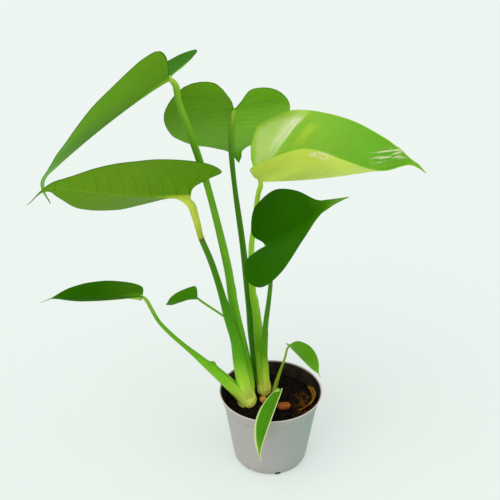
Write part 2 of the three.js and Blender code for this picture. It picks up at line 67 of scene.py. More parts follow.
HEART = [
    (0, 0), (0.17, -0.5), (0.4, -1), (0.78, -0.8), (1, 0.02), (0.95, 0.36),
    (0.68, 0.66), (0.34, 0.85), (0.12, 0.955), (0.035, 1.02), (0, 1.12),
]
LANCE = [
    (0, 0), (0.17, -0.7), (0.62, -0.6), (0.9, 0.1), (1, 0.34), (0.86, 0.58),
    (0.52, 0.8), (0.2, 0.93), (0.07, 0.985), (0.03, 1.02), (0, 1.08),
]

Half = namedtuple(
    "Half",
    "width lobe fold opening curl lobe_curl fullness base corners late",
    defaults=[1, (), 0],
)
Leaf = namedtuple(
    "Leaf",
    "name outline joint length heading rise arch lean twist reach droop sweep left right size"
    " spacing sheath wing flare stalk",
)

LEAVES = [
    Leaf(
        "leaf_1", HEART, (-77.2, -15, 361), 132.5, 183, -34, -10, 17, -12, 1.11, -65, -1,
        Half(50, 20, 22, -12, 3, 33, 0.9, corners=[
            (0.3, -0.36), (0.65, -0.7), (0.88, -0.68), (0.96, -0.1),
        ]),
        Half(49, 24, 7, 1, 14, 5, 0.95, corners=[(0.19, -0.52), (0.58, -0.98), (0.85, -0.63)]),
        size=1, spacing=11, sheath=0.52, wing=0.1, flare=1.2,
        stalk=[
            (-77.2, -15, 361, 1.6), (-72, -16, 355, 2.5), (-70, -16, 342, 2.5),
            (-62, -16, 316, 2.9), (-50, -13, 270, 2.7), (-37, -6, 202, 3.3), (-32, -2, 162, 4),
            (-27, 1, 127, 4.7), (-22, 3, 96, 5.2), (-19.5, 2, 76, 5.4), (-18.5, 0.5, 61, 5),
        ],
    ),
    Leaf(
        "leaf_2", HEART, (-64, -20, 267.7), 115, 203, 10, 10, 48, 20, 1.14, -59, 2,
        Half(46.5, 18.5, 24, -20, -24, 41, 1.16, 0.8, [(0.28, -0.02), (0.53, -0.55), (0.75, -1)]),
        Half(50, 3, 27, -14, -7, 11, 1.16),
        size=0.95, spacing=10.5, sheath=0.58, wing=0.12, flare=1.4,
        stalk=[
            (-73, -24.4, 268.4, 0.9), (-68, -23.6, 266.4, 2.3), (-63.2, -22.8, 262, 3.2),
            (-60.8, -22.3, 254, 3), (-58.6, -22, 244, 2.6), (-56, -22, 232, 2.4),
            (-49, -19, 210, 2.5), (-42, -15, 181, 2.9), (-36, -12, 152, 3.6), (-30, -8, 126, 4.6),
            (-27, -6, 103, 5.6), (-24, -5, 82, 6.3), (-21, -4, 63, 6.3),
        ],
    ),
    Leaf(
        "leaf_3", HEART, (-30.3, 20, 322.9), 123, 90, -47, 16, 1, -7, 1.12, -27, -11,
        Half(55, 34, 11, 2, -29, 34, 1, corners=[
            (0.06, -0.5), (0.28, -1.04), (0.7, -0.88), (1, 0.02), (0.95, 0.36), (0.68, 0.66),
            (0.34, 0.85), (0.13, 0.955), (0.06, 1.04),
        ]),
        Half(43.5, 27.5, 15, 1, -12, 8, 0.97, corners=[
            (0.12, -0.4), (0.33, -1.02), (0.75, -0.83), (1, 0.02), (0.95, 0.36), (0.69, 0.66),
            (0.35, 0.85), (0.13, 0.955), (0.08, 1.04),
        ]),
        size=1, spacing=10, sheath=0.55, wing=0.1, flare=0.4,
        stalk=[
            (-30.3, 20, 322.9, 1.4), (-32, 18, 315, 1.9), (-33, 15, 293, 2.1), (-30, 14, 257, 2.1),
            (-24, 13, 207, 2.6), (-19, 14, 153, 3.1), (-16, 15, 118, 3.9), (-13, 16, 90, 4.2),
            (-9, 15.5, 70, 4.3), (-7.5, 14, 61, 3.8),
        ],
    ),
    Leaf(
        "leaf_4", HEART, (-11, -22, 283.3), 117.5, -2, -1, 19.5, 8, 7, 1.1, -58, -2,
        Half(57.5, 8, 38, 13, -14, 8, 0.87, 0.8, [
            (0.22, -0.65), (0.5, -1.0), (0.76, -0.75), (0.93, -0.02), (1.01, 0.24), (0.77, 0.6),
            (0.38, 0.85), (0.1, 0.955), (0.038, 1.03),
        ]),
        Half(55, 7.5, 50, 4, 18, 50, 1.05, 0.93, [
            (0.19, -0.6), (0.45, -1.05), (0.6, -0.4), (0.74, 0.05), (1.06, 0.32), (0.9, 0.58),
            (0.4, 0.8), (0.08, 0.94), (0.034, 1.03),
        ], -34),
        size=1, spacing=10.5, sheath=0.5, wing=0.12, flare=1.2,
        stalk=[
            (-11, -22, 283.3, 1.4), (-10, -20, 277, 1.9), (-12, -17, 267, 2), (-15, -7, 234, 2.2),
            (-17, -3, 212, 2.3), (-16, 4, 170, 2.9), (-13, 7, 146, 3.3), (-11, 8, 123, 4.1),
            (-9, 10, 100, 4.6), (-7, 11, 78, 4.9), (-6, 12, 60, 4.9),
        ],
    ),
    Leaf(
        "leaf_5", HEART, (-6.4, -48, 239.9), 75.5, -33, 38, 11, 31, 1, 1.17, -23, 20,
        Half(37.7, 16, 19, 28, 10, 31, 1.16, corners=[
            (0.13, -0.24), (0.4, -0.9), (0.84, -0.68), (1, 0.02), (0.94, 0.36), (0.63, 0.66),
            (0.24, 0.84), (0.11, 0.95), (0.055, 1.04),
        ]),
        Half(36.7, 18, 8, 20, -33, 5, 1.02, corners=[
            (0.03, -0.6), (0.2, -1.1), (0.72, -0.8), (1, 0.02), (0.95, 0.36), (0.675, 0.66),
            (0.31, 0.85), (0.13, 0.955), (0.055, 1.03),
        ]),
        size=0.75, spacing=8, sheath=0.6, wing=0.08, flare=0.9,
        stalk=[
            (-6.4, -48, 239.9, 1.1), (-3, -46, 228, 1.5), (-2, -34, 200, 1.7), (-3, -22, 175, 1.9),
            (-5, -10, 146, 2.3), (-6, -2, 118, 2.8), (-5, 3, 91, 3), (-4, 6, 66, 3.1),
        ],
    ),
    Leaf(
        "leaf_6", LANCE, (-105.1, -25, 181.5), 71, 189, 5, -1, -1, -13, 1.14, -23, 1,
        Half(14.5, 1, 34, -13, -5, 15, 1.03),
        Half(16.5, 2, 20, 4, -14, 20, 1.04),
        size=0.55, spacing=7, sheath=0.61, wing=0.3, flare=3.2,
        stalk=[
            (-105.1, -25, 181.5, 1), (-101, -24, 176, 1.5), (-93, -23, 157, 1.6),
            (-84, -22, 144, 1.7), (-74, -20, 131.5, 1.9), (-63, -17, 118, 2.6),
            (-50, -13, 101, 3.9), (-39, -10.5, 87, 4.5), (-29, -8, 73, 4.8), (-22, -7, 62, 4.8),
        ],
    ),
    Leaf(
        "leaf_7", LANCE, (-63.9, 35, 142.4), 28, 181, -2, -19, 9, -11, 1.04, -22, -16,
        Half(10, 0.6, 29, -24, 1, 28, 0.7),
        Half(11, 0.6, 28, -7, 4, 30, 0.8, corners=[
            (0.4, 0), (0.98, 0.02), (1.25, 0.1), (1.03, 0.4),
        ]),
        size=0.35, spacing=4, sheath=0.6, wing=0.1, flare=0.5,
        stalk=[
            (-63.9, 35, 142.4, 0.9), (-59, 35, 138, 1), (-40, 30, 126, 1), (-32, 26, 120, 1.2),
            (-26, 21, 111, 1.4), (-22, 17, 100, 1.8), (-19, 13, 84, 2.2), (-17.5, 6, 61.5, 2.4),
        ],
    ),
    Leaf(
        "leaf_8", LANCE, (16.4, 5, 114), 36.5, -42, 0, -51, -17, 7, 1.12, 4, -1,
        Half(12.2, 0.8, 12, -1, 3, 37, 1),
        Half(12, 0.3, 22, -17, 0, 26, 1.01),
        size=0.4, spacing=4.5, sheath=0.7, wing=0.1, flare=0.5,
        stalk=[
            (16.4, 5, 114, 0.8), (14, 6, 109, 0.9), (12, 6, 99, 1), (8, 8, 83, 1.3),
            (5, 9, 70, 1.8), (3, 9, 60.5, 2.2),
        ],
    ),
    Leaf(
        "leaf_9", LANCE, (6.2, -31, 91.8), 59, -118, -19, -65, 46, -10, 1.14, -17, -4,
        Half(10.8, 0.8, 18, 11, -30, 14, 1.03, 0.9, [
            (0.17, -0.7), (0.62, -0.6), (0.9, 0.1), (1, 0.34), (0.86, 0.58), (0.53, 0.79),
            (0.31, 0.92), (0.25, 0.99), (0.2, 1.05),
        ]),
        Half(13.3, 1.6, 6, 19, 8, 17, 0.82, 0.88, [
            (0.17, -0.7), (0.62, -0.6), (0.9, 0.1), (1, 0.34), (0.88, 0.58), (0.58, 0.79),
            (0.34, 0.92), (0.26, 0.99), (0.2, 1.05),
        ]),
        size=0.45, spacing=6, sheath=0.75, wing=0.08, flare=0.6,
        stalk=[
            (6.2, -31, 91.8, 0.9), (5.8, -27, 90, 1.1), (5, -16, 82, 1.4), (3.6, -3, 69.5, 1.8),
            (3.2, 6.6, 60.3, 1.8),
        ],
    ),
]

# Helpers


def curve_through(points, shares):
    """Smooth curve through evenly timed points, read at shares 0 to 1 of its run."""
    points = np.asarray(points, float)
    ends = np.vstack([2 * points[0] - points[1], points, 2 * points[-1] - points[-2]])
    place = np.asarray(shares, float) * (len(points) - 1)
    i = np.minimum(place.astype(int), len(points) - 2)
    t = (place - i)[:, None]
    a, b, c, d = ends[i], ends[i + 1], ends[i + 2], ends[i + 3]
    return 0.5 * (
        2 * b + (c - a) * t + (2 * a - 5 * b + 4 * c - d) * t**2 + (3 * b - a - 3 * c + d) * t**3
    )


def unit(vectors):
    return vectors / np.linalg.norm(vectors, axis=-1, keepdims=True)


def smooth_step(low, high, value):
    share = np.clip((value - low) / (high - low), 0, 1)
    return share * share * (3 - 2 * share)


def lumps(points, scale, seed=0.0):
    """Smooth noise from -1 to 1 at each point, with lumps about `scale` apart."""
    shift = Vector((seed, 0.37 * seed, -seed))
    return np.array([noise.noise(Vector(p) / scale + shift) for p in points])


def put_in_scene(name, data):
    made = bpy.data.objects.new(name, data)
    bpy.context.scene.collection.objects.link(made)
    return made


def add_piece(name, points, faces, materials, attributes=None, face_materials=None):
    """A smooth mesh object from points in millimetres, with its shared corners merged."""
    mesh = bpy.data.meshes.new(name)
    clean = [tuple(dict.fromkeys(face)) for face in faces]
    mesh.from_pydata((np.asarray(points) * MM).tolist(), [], [f for f in clean if len(f) > 2])
    for key, values in (attributes or {}).items():
        layer = mesh.attributes.new(key, "FLOAT_VECTOR", "POINT")
        layer.data.foreach_set("vector", np.asarray(values, float).ravel())
    if face_materials is not None:
        mesh.polygons.foreach_set("material_index", face_materials)
    work = bmesh.new()
    work.from_mesh(mesh)
    bmesh.ops.remove_doubles(work, verts=work.verts, dist=0.004 * MM)
    bmesh.ops.recalc_face_normals(work, faces=work.faces)
    work.to_mesh(mesh)
    work.free()
    mesh.shade_smooth()
    for material in materials:
        mesh.materials.append(material)
    return put_in_scene(name, mesh)


def ring_turns(sides):
    return 2 * np.pi * np.arange(sides) / sides


def ring_faces(rings, sides):
    """Quads of a skin whose rings follow each other in the point list."""
    faces = []
    for base in range(0, (rings - 1) * sides, sides):
        for j in range(sides):
            k = (j + 1) % sides
            faces.append((base + j, base + k, base + sides + k, base + sides + j))
    return faces


def tube_faces(rings, sides):
    """Quads of a skin of rings, with a flat face at either end."""
    last = (rings - 1) * sides
    return [*ring_faces(rings, sides), tuple(range(sides)), tuple(range(last, last + sides))]


def colour(red, green, blue):
    """Linear colour of display values 0 to 255."""
    return tuple((v / 255) ** 2.2 for v in (red, green, blue)) + (1.0,)


# Materials


class Paint:
    """The nodes of one material, with a single surface shader at their end."""

    def __init__(self, name):
        self.material = bpy.data.materials.new(name)
        self.material.use_nodes = True
        self.tree = self.material.node_tree
        self.tree.nodes.clear()
        self.shader = self.tree.nodes.new("ShaderNodeBsdfPrincipled")
        output = self.tree.nodes.new("ShaderNodeOutputMaterial")
        self.tree.links.new(self.shader.outputs[0], output.inputs[0])

    def feed(self, node, values):
        """Sets a node's inputs: sockets are linked and constants are set on the input itself."""
        for key, value in values.items():
            if isinstance(value, bpy.types.NodeSocket):
                self.tree.links.new(value, node.inputs[key])
            else:
                node.inputs[key].default_value = value

    def node(self, kind, values, **settings):
        made = self.tree.nodes.new(kind)
        for key, value in settings.items():
            setattr(made, key, value)
        self.feed(made, values)
        return made

    def math(self, operation, first, second=0.0, third=0.0):
        made = self.node("ShaderNodeMath", {0: first, 1: second, 2: third}, operation=operation)
        return made.outputs[0]

    def scaled(self, value, factor, offset):
        return self.math("MULTIPLY_ADD", value, factor, offset)

    def times(self, first, *others):
        for other in others:
            first = self.math("MULTIPLY", first, other)
        return first

    def span(self, value, low, high, first=0.0, last=1.0, kind="LINEAR"):
        """The value's way from `low` to `high`, as one from `first` to `last`."""
        limits = {0: value, 1: low, 2: high, 3: first, 4: last}
        return self.node("ShaderNodeMapRange", limits, interpolation_type=kind).outputs[0]

    def band(self, value, low, high):
        """0 below `low` and 1 above `high`, smooth between; the other way round if low > high."""
        ends = (low, high, 0.0, 1.0) if low < high else (high, low, 1.0, 0.0)
        return self.span(value, *ends, "SMOOTHSTEP")

    def mix(self, share, first, second):
        made = self.node("ShaderNodeMix", {0: share, 6: first, 7: second}, data_type="RGBA")
        return made.outputs[2]

    def tint(self, base, target, amount, *shares):
        """The colour moved towards another, by shares that may be (value, low, high) bands."""
        parts = [self.band(*part) if isinstance(part, tuple) else part for part in shares]
        return self.mix(self.times(*parts, amount), base, colour(*target))

    def ramp(self, share, stops):
        """The colour at a share of the way along stops (place, red, green, blue)."""
        made = self.node("ShaderNodeValToRGB", {0: share})
        ramp = made.color_ramp
        for place, *_ in stops[1:-1]:
            ramp.elements.new(place)
        for element, (place, *value) in zip(ramp.elements, stops):
            element.position = place
            element.color = colour(*value)
        return made.outputs[0]

    def places(self):
        """Coordinates in metres on the object."""
        return self.tree.nodes.new("ShaderNodeTexCoord").outputs["Object"]

    def parts(self, vector):
        made = self.node("ShaderNodeSeparateXYZ", {0: vector})
        return made.outputs[0], made.outputs[1], made.outputs[2]

    def attribute(self, name):
        made = self.tree.nodes.new("ShaderNodeAttribute")
        made.attribute_name = name
        return self.parts(made.outputs["Vector"])

    def vector(self, x=0.0, y=0.0, z=0.0):
        return self.node("ShaderNodeCombineXYZ", {0: x, 1: y, 2: z}).outputs[0]

    def stretch(self, place, scale, rotation=(0, 0, 0)):
        made = self.node("ShaderNodeMapping", {0: place, "Scale": scale, "Rotation": rotation})
        return made.outputs[0]

    def noise(self, place, scale, detail=2.0, roughness=0.5):
        values = {"Vector": place, "Scale": scale, "Detail": detail, "Roughness": roughness}
        return self.node("ShaderNodeTexNoise", values).outputs["Fac"]

    def cells(self, place, scale):
        made = self.node("ShaderNodeTexVoronoi", {"Vector": place, "Scale": scale})
        return made.outputs["Distance"]

    def shade(self, base, share, dark=0.8, light=1.2):
        """The colour darkened and lightened as the share goes from 0 to 1."""
        strength = self.span(share, 0.25, 0.75, dark, light)
        made = self.node("ShaderNodeVectorMath", {0: base, "Scale": strength}, operation="SCALE")
        return made.outputs[0]

    def bump(self, height, distance, strength=1.0, under=None):
        values = {"Height": height, "Distance": distance, "Strength": strength}
        if under is not None:
            values["Normal"] = under
        return self.node("ShaderNodeBump", values).outputs[0]

    def finish(self, base, roughness, normal=None, specular=0.3, **more):
        values = {"Base Color": base, "Roughness": roughness, **more}
        values["Specular IOR Level"] = specular
        if normal is not None:
            values["Normal"] = normal
        self.feed(self.shader, values)
        return self.material


# Blades

LEAF_SHEEN = {"Specular Tint": (0.75, 1.0, 0.35, 1.0)}
CREASE = 1.6
TIP_START = 0.9
TIP_RUN = 0.14
TIP_FLATTENING = 0.6
RIB_STEPS = 60
VEIN_SLOPE = 0.35
VEIN_SWEEP = 0.4
FAN_VEINS = 3.5
BLADE_THICKNESS = 0.55
EDGE_ROUNDING = 0.5
FLARE_LENGTH = 11
RIB_HEIGHT = (1.2, 0.85)
RIB_WIDTH = (1.3, 0.8)
RIB_GROOVE = 0.25
VEIN_WIDTH = 0.6
VEIN_GROOVE = 0.05
VEIN_RIDGE = 0.08
QUILT = 0.12
WAVES = ((0.2, 5.3, 1), (0.08, 2.9, 2.3))
ROW_OFFSETS = (0, 0.03, 0.08, 0.18, 0.34, 0.5, 0.66, 0.82, 0.92, 0.97)
COLUMNS = np.array([
    0, 0.006, 0.013, 0.021, 0.031, 0.045, 0.065, 0.095, 0.135, 0.18, 0.23, 0.28, 0.335, 0.39, 0.445,
    0.5, 0.555, 0.61, 0.665, 0.72, 0.775, 0.825, 0.87, 0.905, 0.935, 0.958, 0.975, 0.987, 0.995, 1,
])


def into_tip(share):
    return np.clip((share - TIP_START) / TIP_RUN, 0, 1)


def blade_frame(leaf, share):
    """Directions along the midrib, to its left and out of the upper face, at shares of its run."""
    rise = np.radians(leaf.rise + leaf.arch * share + leaf.droop * into_tip(share))
    heading = np.radians(leaf.heading + leaf.sweep * into_tip(share))
    roll = np.radians(leaf.lean + leaf.twist * share)[..., None]
    along = np.stack(
        [np.cos(rise) * np.cos(heading), np.cos(rise) * np.sin(heading), np.sin(rise)], -1
    )
    level = np.stack([-np.sin(heading), np.cos(heading), 0 * heading], -1)
    left = level * np.cos(roll) + np.cross(along, level) * np.sin(roll)
    return along, left, np.cross(along, left)


def midrib(leaf):
    reach = leaf.length * leaf.reach
    along = blade_frame(leaf, (np.arange(RIB_STEPS) + 0.5) / RIB_STEPS * leaf.reach)[0]
    steps = np.cumsum(along * reach / RIB_STEPS, 0)
    return np.vstack([np.zeros(3), steps]) + leaf.joint


def half_outline(leaf, half, shares):
    corners = [[x**half.fullness if y > 0.1 else x, y] for x, y in leaf.outline]
    corners[1:len(half.corners) + 1] = map(list, half.corners)
    corners = [
        [x * half.width, y * (half.lobe if y < 0 else leaf.length)] for x, y in corners
    ]
    for corner, share in zip(corners[1:5], (1, 1, 1, 0.5)):
        corner[0] *= 1 + share * (half.base - 1)
    corners[-1][1] = leaf.length * leaf.reach
    return curve_through(corners, shares)


def vein_climb(half, across):
    """How far a side vein has climbed towards the tip at a distance from the midrib."""
    return VEIN_SLOPE * across + VEIN_SWEEP * across**2 / half.width


def row_levels(leaf):
    """Vein numbers of the rows: whole numbers are veins, and those below 0 fan out of the joint."""
    top = leaf.length * leaf.reach / leaf.spacing
    whole = np.arange(-4, int(top) + 1)
    levels = (whole[:, None] + np.array(ROW_OFFSETS)[None, :]).ravel()
    levels = levels[(levels > -FAN_VEINS + 0.15) & (levels < top - 0.2)]
    first = -FAN_VEINS + np.array([0, 0.01, 0.03, 0.06, 0.1])
    last = top - np.array([0.15, 0.1, 0.06, 0.03, 0.012, 0])
    return np.concatenate([first, levels, last])


def half_plan(leaf, half, levels):
    """Across and along, in millimetres, of the rows and columns of a blade half."""
    shares = np.linspace(0, 1, 4001)
    edge = half_outline(leaf, half, shares)
    x, y = np.maximum(edge[:, 0], 1e-6), edge[:, 1]
    start = y - vein_climb(half, x)
    fan = np.where((start < 0) & (x > 0.3), -start / x, 0)
    first = int(np.argmax(fan))
    widest = math.atan(fan[first])
    sinus_x = np.maximum.accumulate(x[: first + 1])
    fanned = -FAN_VEINS * np.arctan(fan) / widest
    number = np.where(start >= 0, start / leaf.spacing, fanned)[first:]
    number = np.maximum.accumulate(number) + 1e-9 * np.arange(len(number))
    ends = half_outline(leaf, half, np.interp(levels, number, shares[first:]))
    end_x = np.maximum(ends[:, :1], 0)
    end_x[-1] = 0
    begin = np.maximum(levels, 0)[:, None] * leaf.spacing
    across = COLUMNS[None, :] * end_x
    steep = np.tan(np.maximum(-levels, 0)[:, None] / FAN_VEINS * widest) / fan[first]
    depth = np.interp(across, sinus_x, -start[: first + 1]) * np.maximum(across / x[first], 1)
    along = begin - steep * depth + vein_climb(half, across)
    spread = np.hypot(across, along) * widest / FAN_VEINS
    flank = np.maximum(levels[:, None] + FAN_VEINS, 0) * spread + 10 * (levels[:, None] > 0)
    to_edge = np.minimum((1 - COLUMNS[None, :]) * end_x * 1.1, flank)
    to_edge = np.minimum(to_edge, (levels[-1] - levels[:, None]) * leaf.spacing)
    return across, along, spread, np.maximum(to_edge, 0)


def on_blade(leaf, half, sign, across, along):
    """Points of a blade half's middle surface and the directions out of its upper face."""
    share = np.clip(along / leaf.length, 0, leaf.reach)
    forward, left, up = blade_frame(leaf, share)
    place = np.clip(along / (leaf.length * leaf.reach), 0, 1) * RIB_STEPS
    i = np.minimum(place.astype(int), RIB_STEPS - 1)
    part = (place - i)[..., None]
    ribs = midrib(leaf)
    centre = ribs[i] * (1 - part) + ribs[i + 1] * part
    bend = max(math.radians(half.lobe_curl), 1e-5) / leaf.length
    turn = (bend * np.minimum(along, 0))[..., None]
    centre = centre + (forward * np.sin(turn) + up * (1 - np.cos(turn))) / bend
    normal = up * np.cos(turn) - forward * np.sin(turn)
    fold = half.fold + half.opening * share + half.late * share**2
    fold = np.radians(fold) * (1 - TIP_FLATTENING * into_tip(share))
    curl = math.radians(half.curl or 1e-3) / half.width
    crease = CREASE * leaf.size * (1 - np.exp(-across / (CREASE * leaf.size)))
    out = (np.sin(fold + curl * across) - np.sin(fold)) / curl + (1 - np.cos(fold)) * crease
    lift = (np.cos(fold) - np.cos(fold + curl * across)) / curl - np.sin(fold) * crease
    slope = (fold * crease / (CREASE * leaf.size) + curl * across)[..., None]
    side = sign * left
    points = centre + side * out[..., None] + normal * lift[..., None]
    return points, normal * np.cos(slope) - side * np.sin(slope)


def blade_half(leaf, half, sign, levels, seed):
    """Upper and lower faces of a half, and where each point lies on the blade."""
    across, along, spread, to_edge = half_plan(leaf, half, levels)
    points, out = on_blade(leaf, half, sign, across, along)
    number = levels[:, None]
    columns = COLUMNS[None, :]
    closing = np.sqrt(1 - (1 - np.clip(to_edge / EDGE_ROUNDING, 0, 1)) ** 2)
    to_rib = np.where(along >= 0, across, np.hypot(across, along))
    share = np.clip(along / leaf.length, 0, 1)
    flare = leaf.flare * np.exp(-np.maximum(along, 0) / FLARE_LENGTH)
    rib_height = leaf.size * (RIB_HEIGHT[0] - RIB_HEIGHT[1] * share) + flare
    rib_width = leaf.size * (RIB_WIDTH[0] - RIB_WIDTH[1] * share) + 0.6 * flare
    rib = rib_height * np.exp(-((to_rib / rib_width) ** 2))
    groove = RIB_GROOVE * leaf.size * np.exp(-((to_rib / (0.7 * leaf.size)) ** 2))
    pitch = np.where(number >= 0, leaf.spacing * 0.9, np.maximum(spread, 2.5 * leaf.size))
    to_vein = np.abs(number - np.round(number)) * pitch
    vein = np.exp(-((to_vein / (VEIN_WIDTH * leaf.size)) ** 2))
    vein = vein * (1 - smooth_step(0.7, 0.98, columns))
    field = (4 * columns * (1 - columns)) ** 0.8
    quilt = QUILT * leaf.size * np.sin(np.pi * number) ** 2 * field
    wave = leaf.size * columns**2.2 * sum(
        size * np.sin(2 * np.pi * (number / run + shift * seed)) for size, run, shift in WAVES
    )
    wave = wave * np.clip((levels[-1] - number) / 2, 0, 1)
    both = quilt + wave - VEIN_GROOVE * leaf.size * vein * closing
    half_thick = BLADE_THICKNESS / 2 * closing
    upper = points + out * (both + half_thick - groove * closing)[..., None]
    ridges = (rib + VEIN_RIDGE * leaf.size * vein) * closing
    lower = points + out * (both - half_thick - ridges)[..., None]
    place = np.stack([sign * columns + 0 * number, number + 0 * columns], -1)
    span = np.stack([to_rib, to_edge, to_vein], -1)
    plan = np.stack([sign * across, along, 0 * along], -1)
    return upper, lower, place, span, plan


def round_blade(left, right, last):
    """Joins the upper and lower faces of both halves into one ring of points for each row."""
    (left_up, left_down), (right_up, right_down) = left, right
    ring = [left_up[:, :0:-1], right_up, right_down[:, -2::-1], left_down[:, 1:last]]
    return np.concatenate(ring, 1)


def make_blade(leaf, index, material):
    levels = row_levels(leaf)
    last = len(COLUMNS) - 1
    left = blade_half(leaf, leaf.left, 1, levels, 0.31 * index)
    right = blade_half(leaf, leaf.right, -1, levels, 0.31 * index + 0.4)
    points = round_blade(left[:2], right[:2], last)
    rows, sides = points.shape[:2]
    faces = ring_faces(rows, sides)
    for base in (0, (rows - 1) * sides):
        for j in range(2 * last):
            ends = (j, j + 1, (sides - j - 1) % sides, (sides - j) % sides)
            faces.append(tuple(base + k for k in ends))
    face = np.ones(rows * sides).reshape(rows, sides)
    face[:, 2 * last + 1:] = 0
    face[:, [0, 2 * last]] = 0.5
    place, span, plan = [round_blade((a, a), (b, b), last) for a, b in zip(left[2:], right[2:])]
    place = np.concatenate([place, face[..., None]], -1)
    attributes = {"leaf_place": place, "leaf_span": span, "leaf_plan": plan}
    name = f"blade_{leaf.name[-1]}"
    piece = add_piece(name, points.reshape(-1, 3), faces, [material], attributes)
    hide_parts(f"{leaf.name}_blade")
    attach(piece, "root")


# Leaf colours
#
# `upper` and `under` are stops from the joint to the tip. `veins` is the strength of the side
# veins and `rib_along` that of the midrib beyond the joint. `edge` is the rim's colour,
# `edge_width` its breadth, and `edge_right` widens it on the right half. `right` is painted
# light that lightens the whole right half, `gloss` the roughness and `sheen` the specular level.

LeafPaint = namedtuple(
    "LeafPaint",
    "upper under vein_up vein_down veins rib_up rib_down edge gloss sheen slot edge_width right"
    " rib_along edge_right",
    defaults=[0.8, 1.0, 0.2, 1],
)

LEAF_PAINTS = {
    "leaf_1": LeafPaint(
        [(0, 57, 116, 6), (0.5, 66, 132, 14), (1, 88, 160, 40)],
        # The under face lightens towards the tip in a painted sheen.
        [(0, 108, 159, 34), (0.2, 112, 166, 36), (0.5, 118, 177, 48), (0.8, 150, 218, 84),
         (1, 160, 228, 102)],
        (96, 162, 40), (86, 146, 22), 0.16, (150, 200, 80), (150, 200, 64), (52, 112, 10),
        0.4, 0.012, "leaf_mid_green", rib_along=0.08,
    ),
    "leaf_2": LeafPaint(
        [(0, 60, 124, 12), (0.5, 70, 134, 16), (1, 84, 142, 30)],
        [(0, 98, 149, 27), (0.3, 105, 150, 34), (0.6, 107, 151, 35), (1, 98, 149, 34)],
        (96, 158, 40), (70, 120, 12), 0.34, (150, 200, 70), (206, 224, 80), (50, 108, 8),
        0.44, 0.025, "leaf_mid_green", rib_along=0.06,
    ),
    "leaf_3": LeafPaint(
        [(0, 64, 130, 16), (0.5, 72, 138, 20), (1, 84, 148, 34)],
        [(0, 114, 169, 35), (0.3, 117, 172, 45), (0.6, 106, 162, 36), (0.85, 86, 142, 26),
         (1, 60, 118, 14)],
        (100, 166, 46), (84, 140, 20), 0.35, (160, 200, 76), (104, 160, 34), (58, 118, 12),
        0.44, 0.02, "leaf_mid_green", right=1.22, rib_along=0.1,
    ),
    "leaf_4": LeafPaint(
        [(0, 138, 188, 56), (0.35, 132, 183, 57), (0.6, 115, 178, 53), (0.85, 98, 163, 38),
         (1, 126, 178, 56)],
        # The pale under face is partly the blade's own colour and partly painted light shining
        # through it.
        [(0, 206, 230, 84), (0.5, 212, 234, 88), (1, 196, 226, 74)],
        (132, 190, 64), (188, 214, 66), 0.12, (150, 200, 80), (214, 232, 104), (150, 198, 60),
        0.38, 0.08, "leaf_variegated",
    ),
    "leaf_5": LeafPaint(
        [(0, 38, 87, 1), (0.3, 41, 92, 1), (0.6, 44, 97, 3), (0.78, 64, 118, 18),
         (0.9, 92, 142, 46), (1, 124, 170, 58)],
        [(0, 64, 124, 18), (1, 90, 146, 36)],
        (44, 106, 8), (52, 108, 12), 0.12, (48, 108, 10), (120, 170, 56), (24, 78, 2),
        0.36, 0.01, "leaf_deep_green", edge_width=0.6, right=1.24,
    ),
    "leaf_6": LeafPaint(
        # The upper face is lighter near the joint in a painted sheen.
        [(0, 68, 118, 20), (0.2, 58, 108, 12), (0.45, 44, 95, 2), (0.8, 44, 96, 4),
         (1, 72, 126, 28)],
        [(0, 76, 134, 20), (1, 80, 138, 34)],
        (46, 104, 10), (60, 114, 14), 0.2, (96, 150, 36), (176, 206, 86), (70, 128, 16),
        0.34, 0.05, "leaf_deep_green", edge_width=0.5,
    ),
    "leaf_7": LeafPaint(
        [(0, 68, 133, 17), (1, 62, 127, 14)],
        [(0, 80, 145, 40), (1, 80, 145, 40)],
        (76, 142, 26), (64, 124, 24), 0.25, (96, 156, 44), (120, 180, 66), (60, 124, 18),
        0.42, 0.08, "leaf_young", edge_width=0.3,
    ),
    "leaf_8": LeafPaint(
        [(0, 92, 154, 24), (0.5, 82, 145, 20), (1, 108, 166, 36)],
        [(0, 100, 165, 40), (1, 106, 170, 44)],
        (98, 162, 36), (84, 145, 28), 0.25, (110, 172, 44), (130, 185, 60), (136, 188, 56),
        0.4, 0.08, "leaf_young", edge_width=0.5,
    ),
    "leaf_9": LeafPaint(
        [(0, 84, 148, 28), (0.25, 76, 139, 22), (0.6, 72, 138, 20), (0.8, 96, 150, 34),
         (0.9, 156, 180, 60), (1, 196, 200, 80)],
        [(0, 90, 155, 44), (1, 150, 185, 64)],
        (84, 148, 34), (74, 134, 28), 0.2, (104, 112, 30), (140, 190, 74), (218, 234, 166),
        0.38, 0.05, "leaf_young", edge_width=1.15, rib_along=0.8, edge_right=2.4,
    ),
}


def variegation(paint, base, side, number, plan_x, plan_y, streaks):
    """Cream and yellow sectors that follow the side veins of the left half."""
    left = paint.band(side, 0.01, 0.04)
    broken = paint.scaled(streaks, 0.9, number)
    run_place = paint.vector(paint.times(plan_x, 0.8), paint.times(plan_y, 0.09), 7.3)
    along_rib = paint.noise(run_place, 1.0, 3.0)
    zones = [
        ((178, 206, 114), 0.85, (broken, -2.7, -2.0), (broken, 0.75, 0.4), (side, 0.05, 0.2)),
        ((222, 230, 184), 0.8, (broken, -1.0, -0.2), (broken, 0.75, 0.5), (side, 0.3, 0.7),
         (streaks, 0.28, 0.56)),
        ((150, 192, 52), 0.8, (side, 0.84, 0.95), (number, 0.8, 0.0)),
        ((176, 204, 64), 0.6, (number, 0.7, 1.2), (number, 2.4, 1.7), (side, 0.45, 0.62),
         (side, 0.9, 0.78), (streaks, 0.46, 0.58)),
        ((218, 222, 176), 0.85, (plan_y, 82, 93), (plan_y, 113, 107), (plan_x, 3, 6),
         (plan_x, 16, 12), (along_rib, 0.49, 0.58)),
    ]
    for target, amount, *bands in zones:
        base = paint.tint(base, target, amount, left, *bands)
    return base


